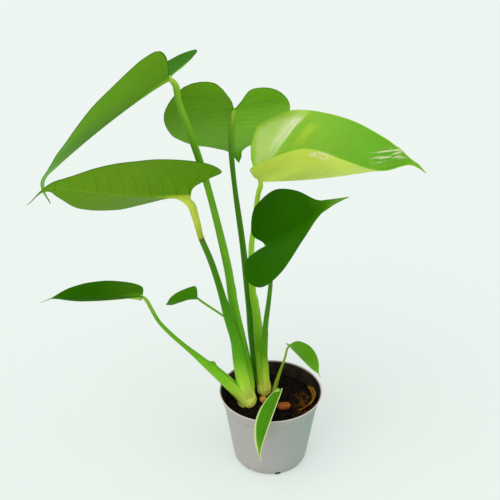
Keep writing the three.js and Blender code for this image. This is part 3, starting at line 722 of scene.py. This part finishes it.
def light_flecks(paint, base, side, number, places):
    """Small cream flecks along the edge of the right half's under face."""
    specks = paint.noise(places, 460, 2.0)
    bands = [(side, -0.8, -0.9), (number, 0.0, 0.4), (number, 2.1, 1.6), (specks, 0.48, 0.56)]
    return paint.tint(base, (252, 240, 190), 0.9, *bands)


def leaf_material(leaf):
    spec = LEAF_PAINTS[leaf.name]
    paint = Paint(f"{leaf.name} blade")
    side, number, face = paint.attribute("leaf_place")
    to_rib, to_edge, to_vein = paint.attribute("leaf_span")
    plan_x, plan_y, _ = paint.attribute("leaf_plan")
    reach = leaf.length * leaf.reach
    share = paint.math("DIVIDE", plan_y, reach)
    places = paint.places()
    blotches = paint.noise(places, 45 / leaf.size**0.5, 3.0)
    fibre_place = paint.vector(paint.times(number, 6.0), paint.times(side, 3.0), face)
    fibres = paint.noise(fibre_place, 1.6, 4.0, 0.6)
    veins = paint.band(to_vein, 0.95 * leaf.size, 0.1)
    inner = paint.band(paint.math("ABSOLUTE", side), 0.96, 0.5)
    strength = paint.times(veins, inner, spec.veins)
    near_joint = paint.band(plan_y, 0.3 * leaf.length, 0.0)
    rib_reach = paint.scaled(share, -1.3 * leaf.size, 2.0 * leaf.size)
    rib_reach = paint.scaled(near_joint, 1.3 * leaf.flare, rib_reach)
    rib = paint.band(paint.math("DIVIDE", to_rib, rib_reach), 1.0, 0.3)
    beyond = spec.rib_along
    rib = paint.times(rib, paint.scaled(near_joint, 1 - beyond, beyond))
    upper = paint.ramp(share, spec.upper)
    upper = paint.mix(strength, upper, colour(*spec.vein_up))
    upper = paint.tint(upper, spec.rib_up, 0.6, rib)
    under = paint.ramp(share, spec.under)
    under = paint.mix(strength, under, colour(*spec.vein_down))
    under = paint.tint(under, spec.rib_down, 0.9, rib)
    if leaf.name == "leaf_4":
        long_place = paint.vector(paint.times(number, 2.2), paint.times(side, 1.1), 3.1)
        streaks = paint.noise(long_place, 1.5, 4.0, 0.65)
        upper = variegation(paint, upper, side, number, plan_x, plan_y, streaks)
        under = light_flecks(paint, under, side, number, places)
    base = paint.mix(face, under, upper)
    right_side = paint.band(side, 0.02, -0.02)
    widened = paint.scaled(right_side, spec.edge_right - 1, 1.0)
    rim = paint.math("DIVIDE", to_edge, widened)
    base = paint.tint(base, spec.edge, 0.8, (rim, spec.edge_width, spec.edge_width * 0.4))
    if leaf.name == "leaf_1":
        lobe_rim = [right_side, (number, -3.1, -3.35), (to_edge, 1.9, 0.9)]
        base = paint.tint(base, (150, 206, 78), 0.85, *lobe_rim)
    # Painted light: the whole right half is lightened by the leaf's `right` factor.
    base = paint.mix(right_side, base, paint.shade(base, 0.5, spec.right, spec.right))
    base = paint.shade(base, blotches, 0.93, 1.07)
    base = paint.shade(base, fibres, 0.96, 1.04)
    pores = paint.noise(places, 1400, 2.0)
    height = paint.scaled(fibres, 0.7, paint.times(pores, 0.5))
    roughness = paint.scaled(blotches, 0.16, spec.gloss)
    normal = paint.bump(height, 0.0002, 0.4)
    return paint.finish(base, roughness, normal, specular=spec.sheen, **LEAF_SHEEN)


# Stalks

STALK_SIDES = 40
STALK_STEP = 1.4
STALK_RIBS = {"count": 7, "height": 0.012}
STALK_SWELL = {"height": 0.02, "run": 5.5}
JOINT_RINGS = {"height": 0.02, "pitch": 2.6}
SHEATH_START = 0.05
CHANNEL_DEPTH = 0.06
SHEATH_CHANNEL = 0.12
CHANNEL_WIDTH = 0.38
WING_TURN = 0.62
WING_WIDTH = 0.16
MOUTH_RISE = 1.5
MOUTH_OFFSET = 0.045
MOUTH_LENGTH = 0.016

# The first six stalks end near the soil in their own pale yellow, lightened further with painted
# light to offset the shade among the stalks.
STALK_PAINTS = {
    "leaf_1": [
        (0, 170, 208, 76), (0.04, 160, 200, 66), (0.14, 126, 180, 46), (0.3, 106, 168, 38),
        (0.5, 100, 164, 36), (0.8, 100, 176, 34), (0.92, 176, 228, 70), (1, 226, 244, 104),
    ],
    "leaf_2": [
        (0, 190, 214, 76), (0.12, 206, 222, 84), (0.3, 190, 208, 72), (0.405, 160, 180, 56),
        (0.415, 112, 76, 28), (0.425, 74, 126, 26), (0.6, 60, 124, 16), (0.8, 90, 164, 32),
        (0.91, 176, 228, 68), (1, 230, 246, 106),
    ],
    "leaf_3": [
        (0, 170, 204, 74), (0.07, 154, 192, 58), (0.16, 104, 154, 34), (0.26, 68, 124, 20),
        (0.5, 60, 120, 14), (0.8, 66, 130, 16), (0.9, 120, 180, 40), (1, 226, 240, 96),
    ],
    "leaf_4": [
        (0, 172, 214, 66), (0.15, 160, 208, 56), (0.45, 134, 190, 46), (0.75, 110, 170, 30),
        (0.88, 168, 216, 60), (0.95, 232, 246, 100), (1, 250, 250, 116),
    ],
    "leaf_5": [
        (0, 110, 165, 40), (0.1, 74, 132, 24), (0.5, 70, 126, 22), (0.76, 86, 150, 28),
        (0.9, 190, 226, 76), (1, 248, 250, 112),
    ],
    "leaf_6": [
        (0, 176, 208, 90), (0.06, 150, 194, 60), (0.2, 104, 166, 30), (0.45, 100, 168, 30),
        (0.75, 124, 192, 42), (0.9, 184, 228, 70), (1, 228, 246, 104),
    ],
    "leaf_7": [
        (0, 110, 170, 56), (0.3, 116, 176, 50), (0.6, 120, 180, 54), (1, 170, 204, 60),
    ],
    "leaf_8": [
        (0, 130, 180, 40), (0.2, 140, 182, 48), (0.6, 146, 178, 50), (0.9, 156, 172, 56),
        (1, 160, 160, 60),
    ],
    "leaf_9": [
        (0, 200, 222, 140), (0.15, 160, 200, 66), (0.5, 146, 190, 50), (1, 166, 184, 60),
    ],
}


def stalk_line(leaf, shares):
    """Centres, directions, upper-side directions and radii along a stalk, from the joint down."""
    line = curve_through(leaf.stalk, shares)
    centre, radius = line[:, :3], line[:, 3]
    along = unit(np.gradient(centre, axis=0))
    above = unit(centre * (-1, -1, 0)) * 0.8 + (0, 0, 0.5)
    above = unit(above - along * (above * along).sum(-1, keepdims=True))
    return centre, along, above, radius


def make_stalk(leaf, index, material):
    knots = np.array(leaf.stalk, float)[:, :3]
    length = np.linalg.norm(np.diff(knots, axis=0), axis=1).sum()
    shares = np.linspace(0, 1, int(length / STALK_STEP) + 1)
    centre, along, above, radius = stalk_line(leaf, shares)
    aside = np.cross(along, above)
    turns = ring_turns(STALK_SIDES)
    bent = np.where(turns > np.pi, turns - 2 * np.pi, turns)
    sheath = smooth_step(leaf.sheath, leaf.sheath + SHEATH_START, shares)[:, None]
    channel = CHANNEL_DEPTH + SHEATH_CHANNEL * sheath
    profile = 1 - channel * np.exp(-((bent / CHANNEL_WIDTH) ** 2))[None, :]
    past_mouth = (shares - leaf.sheath - MOUTH_OFFSET) / MOUTH_LENGTH
    mouth = MOUTH_RISE * np.exp(-(past_mouth**2))[:, None]
    wings = np.exp(-(((np.abs(bent) - WING_TURN) / WING_WIDTH) ** 2))[None, :]
    profile = profile + leaf.wing * (sheath + mouth) * wings
    ribs = np.sin(STALK_RIBS["count"] * turns + index)[None, :] * (1 + shares[:, None])
    swell = np.sin(shares * length / STALK_SWELL["run"] + index)[:, None]
    creases = np.sin(shares * length * JOINT_RINGS["pitch"]) * smooth_step(0.06, 0.02, shares)
    profile = profile + STALK_RIBS["height"] * ribs + STALK_SWELL["height"] * swell
    radial = radius[:, None] * (profile + JOINT_RINGS["height"] * creases[:, None])
    cap = np.radians([90, 68, 45, 22])
    cos, sin = np.cos(turns)[:, None], np.sin(turns)[:, None]
    rings = [(centre[k], radial[k], k) for k in range(len(shares))]
    for k, depth in ((0, -1), (-1, 0.6)):
        end = [
            (centre[k] + along[k] * depth * radius[k] * math.sin(a),
             radial[k] * max(math.cos(a), 1e-3), k)
            for a in cap
        ]
        rings = end + rings if k == 0 else rings + end[::-1]
    points = np.array([
        place + cos * above[k] * size[:, None] + sin * aside[k] * size[:, None]
        for place, size, k in rings
    ])
    faces = tube_faces(len(rings), STALK_SIDES)
    share = np.concatenate([np.zeros(4), shares, np.ones(4)])[:, None] + 0 * turns[None, :]
    place = np.stack([share, share * length, np.cos(turns)[None, :] + 0 * share], -1)
    attributes = {"stalk_place": place.reshape(-1, 3)}
    name = f"stalk_{leaf.name[-1]}"
    piece = add_piece(name, points.reshape(-1, 3), faces, [material], attributes)
    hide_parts(f"{leaf.name}_petiole")
    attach(piece, "root")


def stalk_material(leaf):
    paint = Paint(f"{leaf.name} stalk")
    share, run, above = paint.attribute("stalk_place")
    places = paint.places()
    base = paint.ramp(share, STALK_PAINTS[leaf.name])
    streak_place = paint.vector(paint.times(run, 0.02), paint.times(above, 2.2), 0.4)
    streaks = paint.noise(streak_place, 2.4, 4.0, 0.6)
    base = paint.shade(base, streaks, 0.86, 1.14)
    patches = paint.noise(places, 70, 3.0)
    base = paint.shade(base, patches, 0.93, 1.07)
    base = paint.tint(base, (190, 214, 110), 0.3, (paint.cells(places, 420), 0.16, 0.05))
    grain_place = paint.vector(paint.times(run, 0.25), paint.times(above, 9.0), 0.0)
    grain = paint.noise(grain_place, 3.0, 3.0)
    normal = paint.bump(grain, 0.0002, 0.5)
    roughness = paint.scaled(patches, 0.2, 0.34)
    return paint.finish(base, roughness, normal, specular=0.12, **LEAF_SHEEN)


# Crowns: the pale stumps that the stalks stand on

Crown = namedtuple("Crown", "name centre squash levels")

CROWNS = [
    Crown("crown_left", (-20.8, -3.4), 0.95, [
        (40, 1.6), (45, 4), (51, 6), (56, 7.2), (60, 8.5), (64, 8.2), (67.5, 7), (71, 5.2), (73, 3),
    ]),
    Crown("crown_middle", (-5.6, 11.4), 0.98, [
        (42, 1.4), (47, 3), (53, 4.4), (57, 5.2), (60.5, 6.1), (64, 6.3), (68, 5.6), (72, 4.4),
        (74, 2.5),
    ]),
    Crown("crown_seedling", (3.4, 8.4), 0.9, [
        (46, 0.9), (51, 2), (55.5, 3), (58.5, 3), (60.5, 1.6),
    ]),
]
CROWN_SIDES = 72
CROWN_RINGS = 48
CROWN_LOBES = ((0.02, 3, 1), (0.01, 5, -2))
SCAR_PITCH = 3.4
SCAR_WIDTH = 0.35
SCAR_DEPTH = 0.03
CROWN_BUMPS = 0.12


def make_crown(crown, index, material):
    shares = np.linspace(0, 1, CROWN_RINGS)
    line = curve_through(crown.levels, shares)
    turns = ring_turns(CROWN_SIDES)
    points = []
    for height, radius in line:
        past_scar = (height - SOIL_LEVEL) % SCAR_PITCH - SCAR_PITCH / 2
        scar = SCAR_DEPTH * math.exp(-(past_scar / SCAR_WIDTH) ** 2)
        lobes = 1 - scar + sum(
            size * np.sin(count * turns + shift * index) for size, count, shift in CROWN_LOBES
        )
        points.append(np.column_stack([
            crown.centre[0] + radius * lobes * np.cos(turns),
            crown.centre[1] + radius * crown.squash * lobes * np.sin(turns),
            height + 0 * turns,
        ]))
    points = np.concatenate(points)
    bumps = lumps(points, 2.2, index)
    outward = unit((points - (*crown.centre, 0)) * (1, 1, 0) + 1e-9)
    points = points + outward * CROWN_BUMPS * bumps[:, None]
    faces = tube_faces(CROWN_RINGS, CROWN_SIDES)
    piece = add_piece(f"stump_{crown.name[6:]}", points, faces, [material])
    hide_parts(crown.name)
    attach(piece, "root")


def crown_material():
    paint = Paint("crown")
    places = paint.places()
    _, _, height = paint.parts(places)
    wander = paint.noise(places, 180, 4.0, 0.6)
    level = paint.scaled(wander, 0.004, height)
    # The stumps are their own pale yellow, lightened further with painted light to offset the shade
    # among the stalks, and darken to brown at the soil.
    base = paint.ramp(
        paint.span(level, 0.057, 0.068),
        [(0, 112, 80, 30), (0.1, 196, 176, 70), (0.24, 244, 240, 110), (1, 232, 248, 104)],
    )
    base = paint.shade(base, paint.noise(places, 600, 3.0), 0.92, 1.08)
    normal = paint.bump(wander, 0.0006, 0.6)
    return paint.finish(base, 0.5, normal, specular=0.25)


# Pot: an upright collar on a tapered wall, with drain slots round the foot

POT_SIDES = 192
DRAIN = {"count": 8, "width": 5, "height": 3.3, "inner": 25.5, "outer": 36, "turn": -78}
OUTSIDE = [
    (0, 0), (20, 0), (27.4, 0), (28.6, 0.05), (29.8, 0.3), (30.9, 1.0), (31.7, 2.2), (32.2, 3.6),
    (32.6, 5.0), (34.0, 14), (35.6, 24), (37.1, 34), (38.7, 44), (40.0, 52.6), (40.6, 56.6),
    (40.75, 58.0), (40.85, 58.6), (41.2, 58.9), (41.6, 59.3), (42.4, 62), (43.5, 65.6),
    (44.4, 68.6), (44.7, 69.2), (44.95, 69.45), (45.0, 69.7), (44.92, 69.9), (44.7, 70.0),
]
INSIDE = [
    (44.2, 70.0), (43.95, 69.9), (43.75, 69.5), (42.7, 66.4), (41.2, 61), (40.4, 58.6),
    (39.75, 57.6), (38.9, 52), (36.0, 34), (33.0, 16), (31.2, 5.2), (30.4, 2.8), (29.4, 1.6),
    (28.2, 1.2), (20, 1.2), (0, 1.2),
]


def lathe(profile, sides):
    turns = ring_turns(sides)
    return np.concatenate([
        np.column_stack([r * np.cos(turns), r * np.sin(turns), z + 0 * turns]) for r, z in profile
    ])


def cut_out(piece, cutter):
    """Cuts one mesh object out of another and keeps the result as the piece's mesh."""
    knife = piece.modifiers.new("cut", "BOOLEAN")
    knife.operation = "DIFFERENCE"
    knife.solver = "EXACT"
    knife.object = cutter
    bpy.context.view_layer.update()
    shown = piece.evaluated_get(bpy.context.evaluated_depsgraph_get())
    mesh = bpy.data.meshes.new_from_object(shown)
    piece.modifiers.remove(knife)
    piece.data = mesh
    bpy.data.objects.remove(cutter)


def drain_blocks(inner, outer, width, low, high, every=1):
    """Points and faces of one block at each drain slot, or at every second one."""
    points = []
    faces = []
    for i in range(0, DRAIN["count"], every):
        turn = math.radians(DRAIN["turn"] + 360 * i / DRAIN["count"])
        way = np.array([math.cos(turn), math.sin(turn)])
        side = np.array([-way[1], way[0]]) * width / 2
        base = len(points)
        for z in (low, high):
            for radius, sign in ((inner, -1), (outer, -1), (outer, 1), (inner, 1)):
                points.append((*(way * radius + side * sign), z))
        faces += [tuple(base + k for k in face) for face in (
            (0, 3, 2, 1), (4, 5, 6, 7), (0, 1, 5, 4), (1, 2, 6, 5), (2, 3, 7, 6), (3, 0, 4, 7),
        )]
    return points, faces


def drain_cutter():
    high = DRAIN["height"]
    blocks = drain_blocks(DRAIN["inner"], DRAIN["outer"], DRAIN["width"], -high, high)
    return add_piece("drain_cutter", *blocks, [])


def make_pot(outside, inside):
    profile = OUTSIDE + INSIDE
    points = lathe(profile, POT_SIDES)
    faces = ring_faces(len(profile), POT_SIDES)
    lip = len(OUTSIDE)
    kinds = [0 if k // POT_SIDES < lip else 1 for k in range(len(faces))]
    piece = add_piece("pot_shell", points, faces, [outside, inside], face_materials=kinds)
    cut_out(piece, drain_cutter())
    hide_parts("nursery_pot")
    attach(piece, "root")


def pot_outside():
    paint = Paint("pot outside")
    places = paint.places()
    x, _, height = paint.parts(places)
    # Painted light: the wall is lighter and pinker on the left and darker and greener towards the
    # right.
    base = paint.ramp(
        paint.span(x, -0.042, 0.042),
        [(0, 168, 170, 163), (0.3, 175, 169, 165), (0.55, 167, 165, 161), (0.8, 149, 160, 151),
         (1, 132, 152, 139)],
    )
    # Painted highlight: a pale band round the top of the rim, where the lip catches the light.
    base = paint.tint(base, (220, 206, 198), 0.85, (height, 0.0686, 0.0696))
    # Painted shade: a faint darker ring under the collar's step.
    step_shade = [(height, 0.0576, 0.0586), (height, 0.0596, 0.0588)]
    base = paint.tint(base, (118, 122, 116), 0.3, *step_shade)
    cloud = paint.noise(places, 38, 3.0)
    base = paint.shade(base, cloud, 0.96, 1.04)
    brushed = paint.noise(paint.stretch(places, (1, 1, 0.15)), 900, 2.0)
    scuffs = paint.noise(paint.stretch(places, (1, 1, 4)), 160, 4.0)
    base = paint.tint(base, (206, 206, 202), 0.25, (scuffs, 0.66, 0.8))
    # Darker in blotches towards the foot.
    foot_blotches = paint.noise(places, 220, 3.0)
    base = paint.tint(base, (120, 114, 104), 0.35, (height, 0.008, 0.001), foot_blotches)
    normal = paint.bump(brushed, 0.00012, 0.5)
    roughness = paint.scaled(cloud, 0.18, 0.36)
    return paint.finish(base, roughness, normal, specular=0.4)


def pot_inside():
    paint = Paint("pot inside")
    places = paint.places()
    _, _, height = paint.parts(places)
    smear = paint.noise(places, 130, 4.0)
    base = paint.mix(paint.band(smear, 0.45, 0.7), colour(22, 17, 15), colour(52, 40, 32))
    # Painted highlight: a pale band round the top of the rim, on its inner side.
    base = paint.tint(base, (206, 190, 184), 0.75, (height, 0.0686, 0.0698))
    normal = paint.bump(paint.noise(places, 800, 2.0), 0.0002, 0.4)
    return paint.finish(base, 0.55, normal, specular=0.3)


# Soil: a crumbly top that fills the pot, with loose grains

SOIL_LEVEL = 58.0
SOIL_SIDES = 220
SOIL_RADII = np.concatenate([[0.02], np.linspace(1, 39.3, 64)])
SOIL_WALL = [(39, 54), (36, 36), (32.8, 18), (30.9, 5.4), (29.4, 2.0), (27, 1.5), (0.02, 1.5)]
PLUG = {"inner": 26, "outer": 30.6, "width": 4.7, "low": 0.15, "high": 3.2, "every": 2}
WAVE_HEIGHT = 0.5
CLOD_HEIGHT = 0.75
GRAIN_HEIGHT = 0.55
FINES_HEIGHT = 0.22
CRUMBS = 900
CRUMB_REACH = 38.6
CRUMB_SIZE = 0.35
CRUMB_GROWTH = 1.1


def soil_height(x, y):
    wave = np.sin(0.31 * x + 0.8) * np.cos(0.27 * y) + np.sin(0.19 * x - 0.41 * y)
    points = np.column_stack([x, y, 0 * x])
    clods = CLOD_HEIGHT * lumps(points, 5.5, 1.0)
    grains = GRAIN_HEIGHT * np.abs(lumps(points, 1.9, 2.0))
    fines = FINES_HEIGHT * lumps(points, 0.8, 3.0)
    return SOIL_LEVEL + WAVE_HEIGHT * wave + clods + grains + fines


def make_soil(material):
    turns = ring_turns(SOIL_SIDES)
    radii, angles = np.meshgrid(SOIL_RADII, turns, indexing="ij")
    x, y = (radii * np.cos(angles)).ravel(), (radii * np.sin(angles)).ravel()
    top = np.column_stack([x, y, soil_height(x, y)])
    points = np.concatenate([top, lathe(SOIL_WALL, SOIL_SIDES)])
    faces = tube_faces(len(points) // SOIL_SIDES, SOIL_SIDES)
    plug_points, plug_faces = drain_blocks(**PLUG)
    faces += [tuple(len(points) + k for k in face) for face in plug_faces]
    points = np.concatenate([points, plug_points])
    piece = add_piece("soil_bed", points, faces, [material])
    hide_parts("potting_soil")
    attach(piece, "root")


def make_crumbs(material):
    """Small angular grains strewn over the soil, in one mesh."""
    random = np.random.default_rng(7)
    seed = bmesh.new()
    bmesh.ops.create_icosphere(seed, subdivisions=2, radius=1)
    ball = np.array([vertex.co[:] for vertex in seed.verts])
    corners = [tuple(vertex.index for vertex in face.verts) for face in seed.faces]
    seed.free()
    radius = CRUMB_REACH * np.sqrt(random.random(CRUMBS))
    turn = 2 * np.pi * random.random(CRUMBS)
    x, y = radius * np.cos(turn), radius * np.sin(turn)
    heights = soil_height(x, y)
    points = []
    faces = []
    for i in range(CRUMBS):
        size = CRUMB_SIZE + CRUMB_GROWTH * random.random() ** 2.5
        stretch = size * (0.6 + 0.7 * random.random(3))
        dents = 1 + 0.35 * lumps(ball, 0.9, 5.0 + i)
        turn_z = 2 * np.pi * random.random()
        shape = ball * dents[:, None] * stretch
        cos, sin = math.cos(turn_z), math.sin(turn_z)
        x_part, y_part, z_part = shape.T
        shape = np.column_stack([cos * x_part - sin * y_part, sin * x_part + cos * y_part, z_part])
        base = len(points)
        points.extend(shape + (x[i], y[i], heights[i] + 0.25 * size))
        faces.extend(tuple(base + k for k in face) for face in corners)
    piece = add_piece("soil_crumbs", points, faces, [material])
    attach(piece, "root")


def soil_material(name, lift=1.0):
    paint = Paint(name)
    places = paint.places()
    clods = paint.noise(places, 160, 5.0, 0.65)
    specks = paint.noise(places, 1100, 3.0, 0.6)
    base = paint.ramp(clods, [(0.25, 9, 6, 4), (0.5, 21, 15, 9), (0.75, 42, 30, 18)])
    x, y, _ = paint.parts(places)
    warm = paint.noise(places, 230, 3.0)
    front_right = [(x, 0.016, 0.03), (y, 0.016, 0.004), (warm, 0.42, 0.6)]
    base = paint.tint(base, (98, 62, 20), 0.8, *front_right)
    base = paint.shade(base, specks, 0.6 * lift, 1.5 * lift)
    fibre = paint.noise(paint.stretch(places, (1, 3.5, 1), (0.3, 0.2, 0.9)), 300, 3.0)
    base = paint.tint(base, (84, 60, 40), 0.5, (fibre, 0.68, 0.76))
    normal = paint.bump(specks, 0.0005, 0.7)
    return paint.finish(base, 0.9, normal, specular=0.12)


# Bark on the soil: two chips and a curled strip against the wall

Chip = namedtuple("Chip", "name node centre size turn tilt slot")

CHIPS = [
    Chip("chip_orange", "bark_chip", (11.8, -9.6, 59.6), (12, 8, 3.4), 8, 6, "bark_orange"),
    Chip("chip_tan", "bark_stub", (-6.6, -1.2, 60.4), (6, 6.5, 4.6), 30, -12, "bark_tan"),
]
CHIP_OUTLINE = [
    (0.5, 0.06), (0.34, 0.44), (-0.1, 0.5), (-0.42, 0.34), (-0.5, -0.1), (-0.28, -0.46),
    (0.2, -0.5), (0.46, -0.26),
]
CHIP_LAYERS = [
    (-0.5, 0.6), (-0.42, 0.82), (-0.2, 0.98), (0.15, 0.96), (0.36, 0.86), (0.46, 0.7), (0.5, 0.4),
]
BARK_LAYER = 0.7


def turned(points, tilt, turn):
    """Points tilted about X and then turned about Z, in degrees."""
    tilt, turn = math.radians(tilt), math.radians(turn)
    cos, sin = math.cos(tilt), math.sin(tilt)
    about_x = np.array([[1, 0, 0], [0, cos, -sin], [0, sin, cos]])
    cos, sin = math.cos(turn), math.sin(turn)
    about_z = np.array([[cos, -sin, 0], [sin, cos, 0], [0, 0, 1]])
    return points @ (about_z @ about_x).T


def make_chip(chip, index, material):
    shares = np.linspace(0, 1, 65)[:-1]
    outline = curve_through([*CHIP_OUTLINE, CHIP_OUTLINE[0]], shares)
    layers = curve_through(CHIP_LAYERS, np.linspace(0, 1, 25))
    size = np.array(chip.size)
    points = np.concatenate([
        np.column_stack([outline * share * size[:2], height * size[2] + np.zeros(len(outline))])
        for height, share in layers
    ])
    ragged = lumps(points, 1.6, 11.0 + index)
    layered = np.round(points[:, 2] / BARK_LAYER) * BARK_LAYER
    points[:, 2] = 0.6 * points[:, 2] + 0.4 * layered + 0.18 * ragged
    points[:, :2] = points[:, :2] * (1 + 0.05 * ragged[:, None])
    points = turned(points, chip.tilt, chip.turn) + chip.centre
    faces = tube_faces(len(layers), len(outline))
    piece = add_piece(chip.name, points, faces, [material])
    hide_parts(chip.node)
    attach(piece, "root")


STRIP_KNOTS = [
    (34.2, 17.6, 60.2, 2), (37.4, 10.6, 61.6, 4.6), (38.3, 2, 62, 5.4),
    (36.2, -5.6, 61.4, 5), (31, -12, 60.6, 4.6), (24.6, -16.4, 59.8, 2.6),
]
STRIP_RINGS = 120
STRIP_SIDES = 36
STRIP_HALF_THICKNESS = 0.55
STRIP_ROUGHNESS = 0.25


def make_strip(material):
    shares = np.linspace(0, 1, STRIP_RINGS)
    line = curve_through(STRIP_KNOTS, shares)
    centre, width = line[:, :3], line[:, 3]
    along = unit(np.gradient(centre, axis=0))
    slope = unit((0, 0, 0.82) - 0.57 * unit(centre * (-1, -1, 0)))
    face = unit(np.cross(along, slope))
    turns = ring_turns(STRIP_SIDES)
    squared = np.stack([np.cos(turns), np.sin(turns)], -1)
    squared = squared / np.maximum(np.abs(squared).max(-1, keepdims=True), 0.86)
    points = (
        centre[:, None]
        + slope[:, None] * (squared[None, :, :1] * (width / 2)[:, None, None])
        + face[:, None] * (squared[None, :, 1:] * STRIP_HALF_THICKNESS)
    ).reshape(-1, 3)
    rough = lumps(points, 1.5, 21.0)[:, None]
    points = points + np.repeat(face, STRIP_SIDES, 0) * STRIP_ROUGHNESS * rough
    faces = tube_faces(STRIP_RINGS, STRIP_SIDES)
    piece = add_piece("strip_brown", points, faces, [material])
    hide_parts("bark_strip")
    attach(piece, "root")


def bark_material(name, dark, middle, light, spot=None):
    paint = Paint(name)
    places = paint.places()
    stretched = paint.stretch(places, (1, 4, 6), (0, 0, 0.3))
    grain = paint.noise(stretched, 130, 5.0, 0.65)
    base = paint.ramp(grain, [(0.25, *dark), (0.5, *middle), (0.8, *light)])
    cracks = paint.noise(stretched, 420, 3.0)
    base = paint.tint(base, [v * 0.4 for v in dark], 0.7, (cracks, 0.36, 0.28))
    if spot:
        x, y, _ = paint.parts(places)
        gaps = [paint.math("SUBTRACT", place, centre) for place, centre in zip((x, y), spot)]
        gap = paint.math("ADD", *(paint.math("ABSOLUTE", part) for part in gaps))
        base = paint.tint(base, (186, 152, 40), 0.8, (gap, 0.0042, 0.0016))
    normal = paint.bump(grain, 0.0008, 0.7)
    return paint.finish(base, 0.8, normal, specular=0.2)


# Floor, light and camera

FLOOR_HALF = 6000
FLOOR_DROP = 0.2
FLOOR_COLOUR = (236, 244, 240)
FLOOR_SHARE = 0.55
FLOOR_GLOW = 0.42
WORLD_STRENGTH = 0.72
SUNS = [
    ("key light", 235, 55, 1.1, 50, (1.0, 0.99, 0.96)),
    ("fill light", -20, 40, 0.35, 70, (0.96, 0.99, 1.0)),
]


def make_stage():
    corners = [(x * FLOOR_HALF, y * FLOOR_HALF, 0) for x, y in ((-1, -1), (1, -1), (1, 1), (-1, 1))]
    floor = add_piece("floor", corners, [(0, 1, 2, 3)], [])
    floor.location.z = -FLOOR_DROP * MM
    pale = colour(*FLOOR_COLOUR)
    base = tuple(FLOOR_SHARE * v for v in pale[:3]) + (1.0,)
    glow = {"Emission Color": pale, "Emission Strength": FLOOR_GLOW}
    floor.data.materials.append(Paint("pale floor").finish(base, 1.0, specular=0.0, **glow))
    world = bpy.data.worlds.new("studio")
    world.use_nodes = True
    background = world.node_tree.nodes["Background"]
    background.inputs[0].default_value = (1.0, 1.0, 1.0, 1.0)
    background.inputs[1].default_value = WORLD_STRENGTH
    bpy.context.scene.world = world


def make_sun(name, azimuth, elevation, strength, angle, tint):
    light = bpy.data.lights.new(name, "SUN")
    light.energy = strength
    light.angle = math.radians(angle)
    light.color = tint
    turn, rise = math.radians(azimuth), math.radians(elevation)
    way = Vector((math.cos(rise) * math.cos(turn), math.cos(rise) * math.sin(turn), math.sin(rise)))
    put_in_scene(name, light).rotation_euler = way.to_track_quat("Z", "Y").to_euler()


def make_camera():
    lens = bpy.data.cameras.new("camera")
    lens.lens = CAMERA_LENS
    lens.sensor_width = 36
    camera = put_in_scene("camera", lens)
    camera.location = CAMERA_PLACE
    camera.rotation_euler = (math.radians(90 - CAMERA_PITCH), 0, 0)
    bpy.context.scene.camera = camera


make_camera()
make_stage()
for sun in SUNS:
    make_sun(*sun)
bpy.context.scene.view_settings.view_transform = "Standard"

for number, leaf in enumerate(LEAVES):
    make_blade(leaf, number, leaf_material(leaf))
    make_stalk(leaf, number, stalk_material(leaf))

crown_look = crown_material()
for number, crown in enumerate(CROWNS):
    make_crown(crown, number, crown_look)

make_pot(pot_outside(), pot_inside())
make_soil(soil_material("soil"))
make_crumbs(soil_material("soil crumbs", 1.25))

bark_looks = {
    "bark_orange": bark_material("orange bark", (110, 52, 20), (160, 82, 30), (196, 112, 48)),
    "bark_tan": bark_material("tan bark", (140, 92, 34), (196, 142, 58), (220, 176, 90)),
    "bark_brown": bark_material(
        "brown bark", (84, 50, 12), (140, 90, 26), (190, 134, 50), (0.0345, -0.0085)
    ),
}
for number, chip in enumerate(CHIPS):
    make_chip(chip, number, bark_looks[chip.slot])
make_strip(bark_looks["bark_brown"])
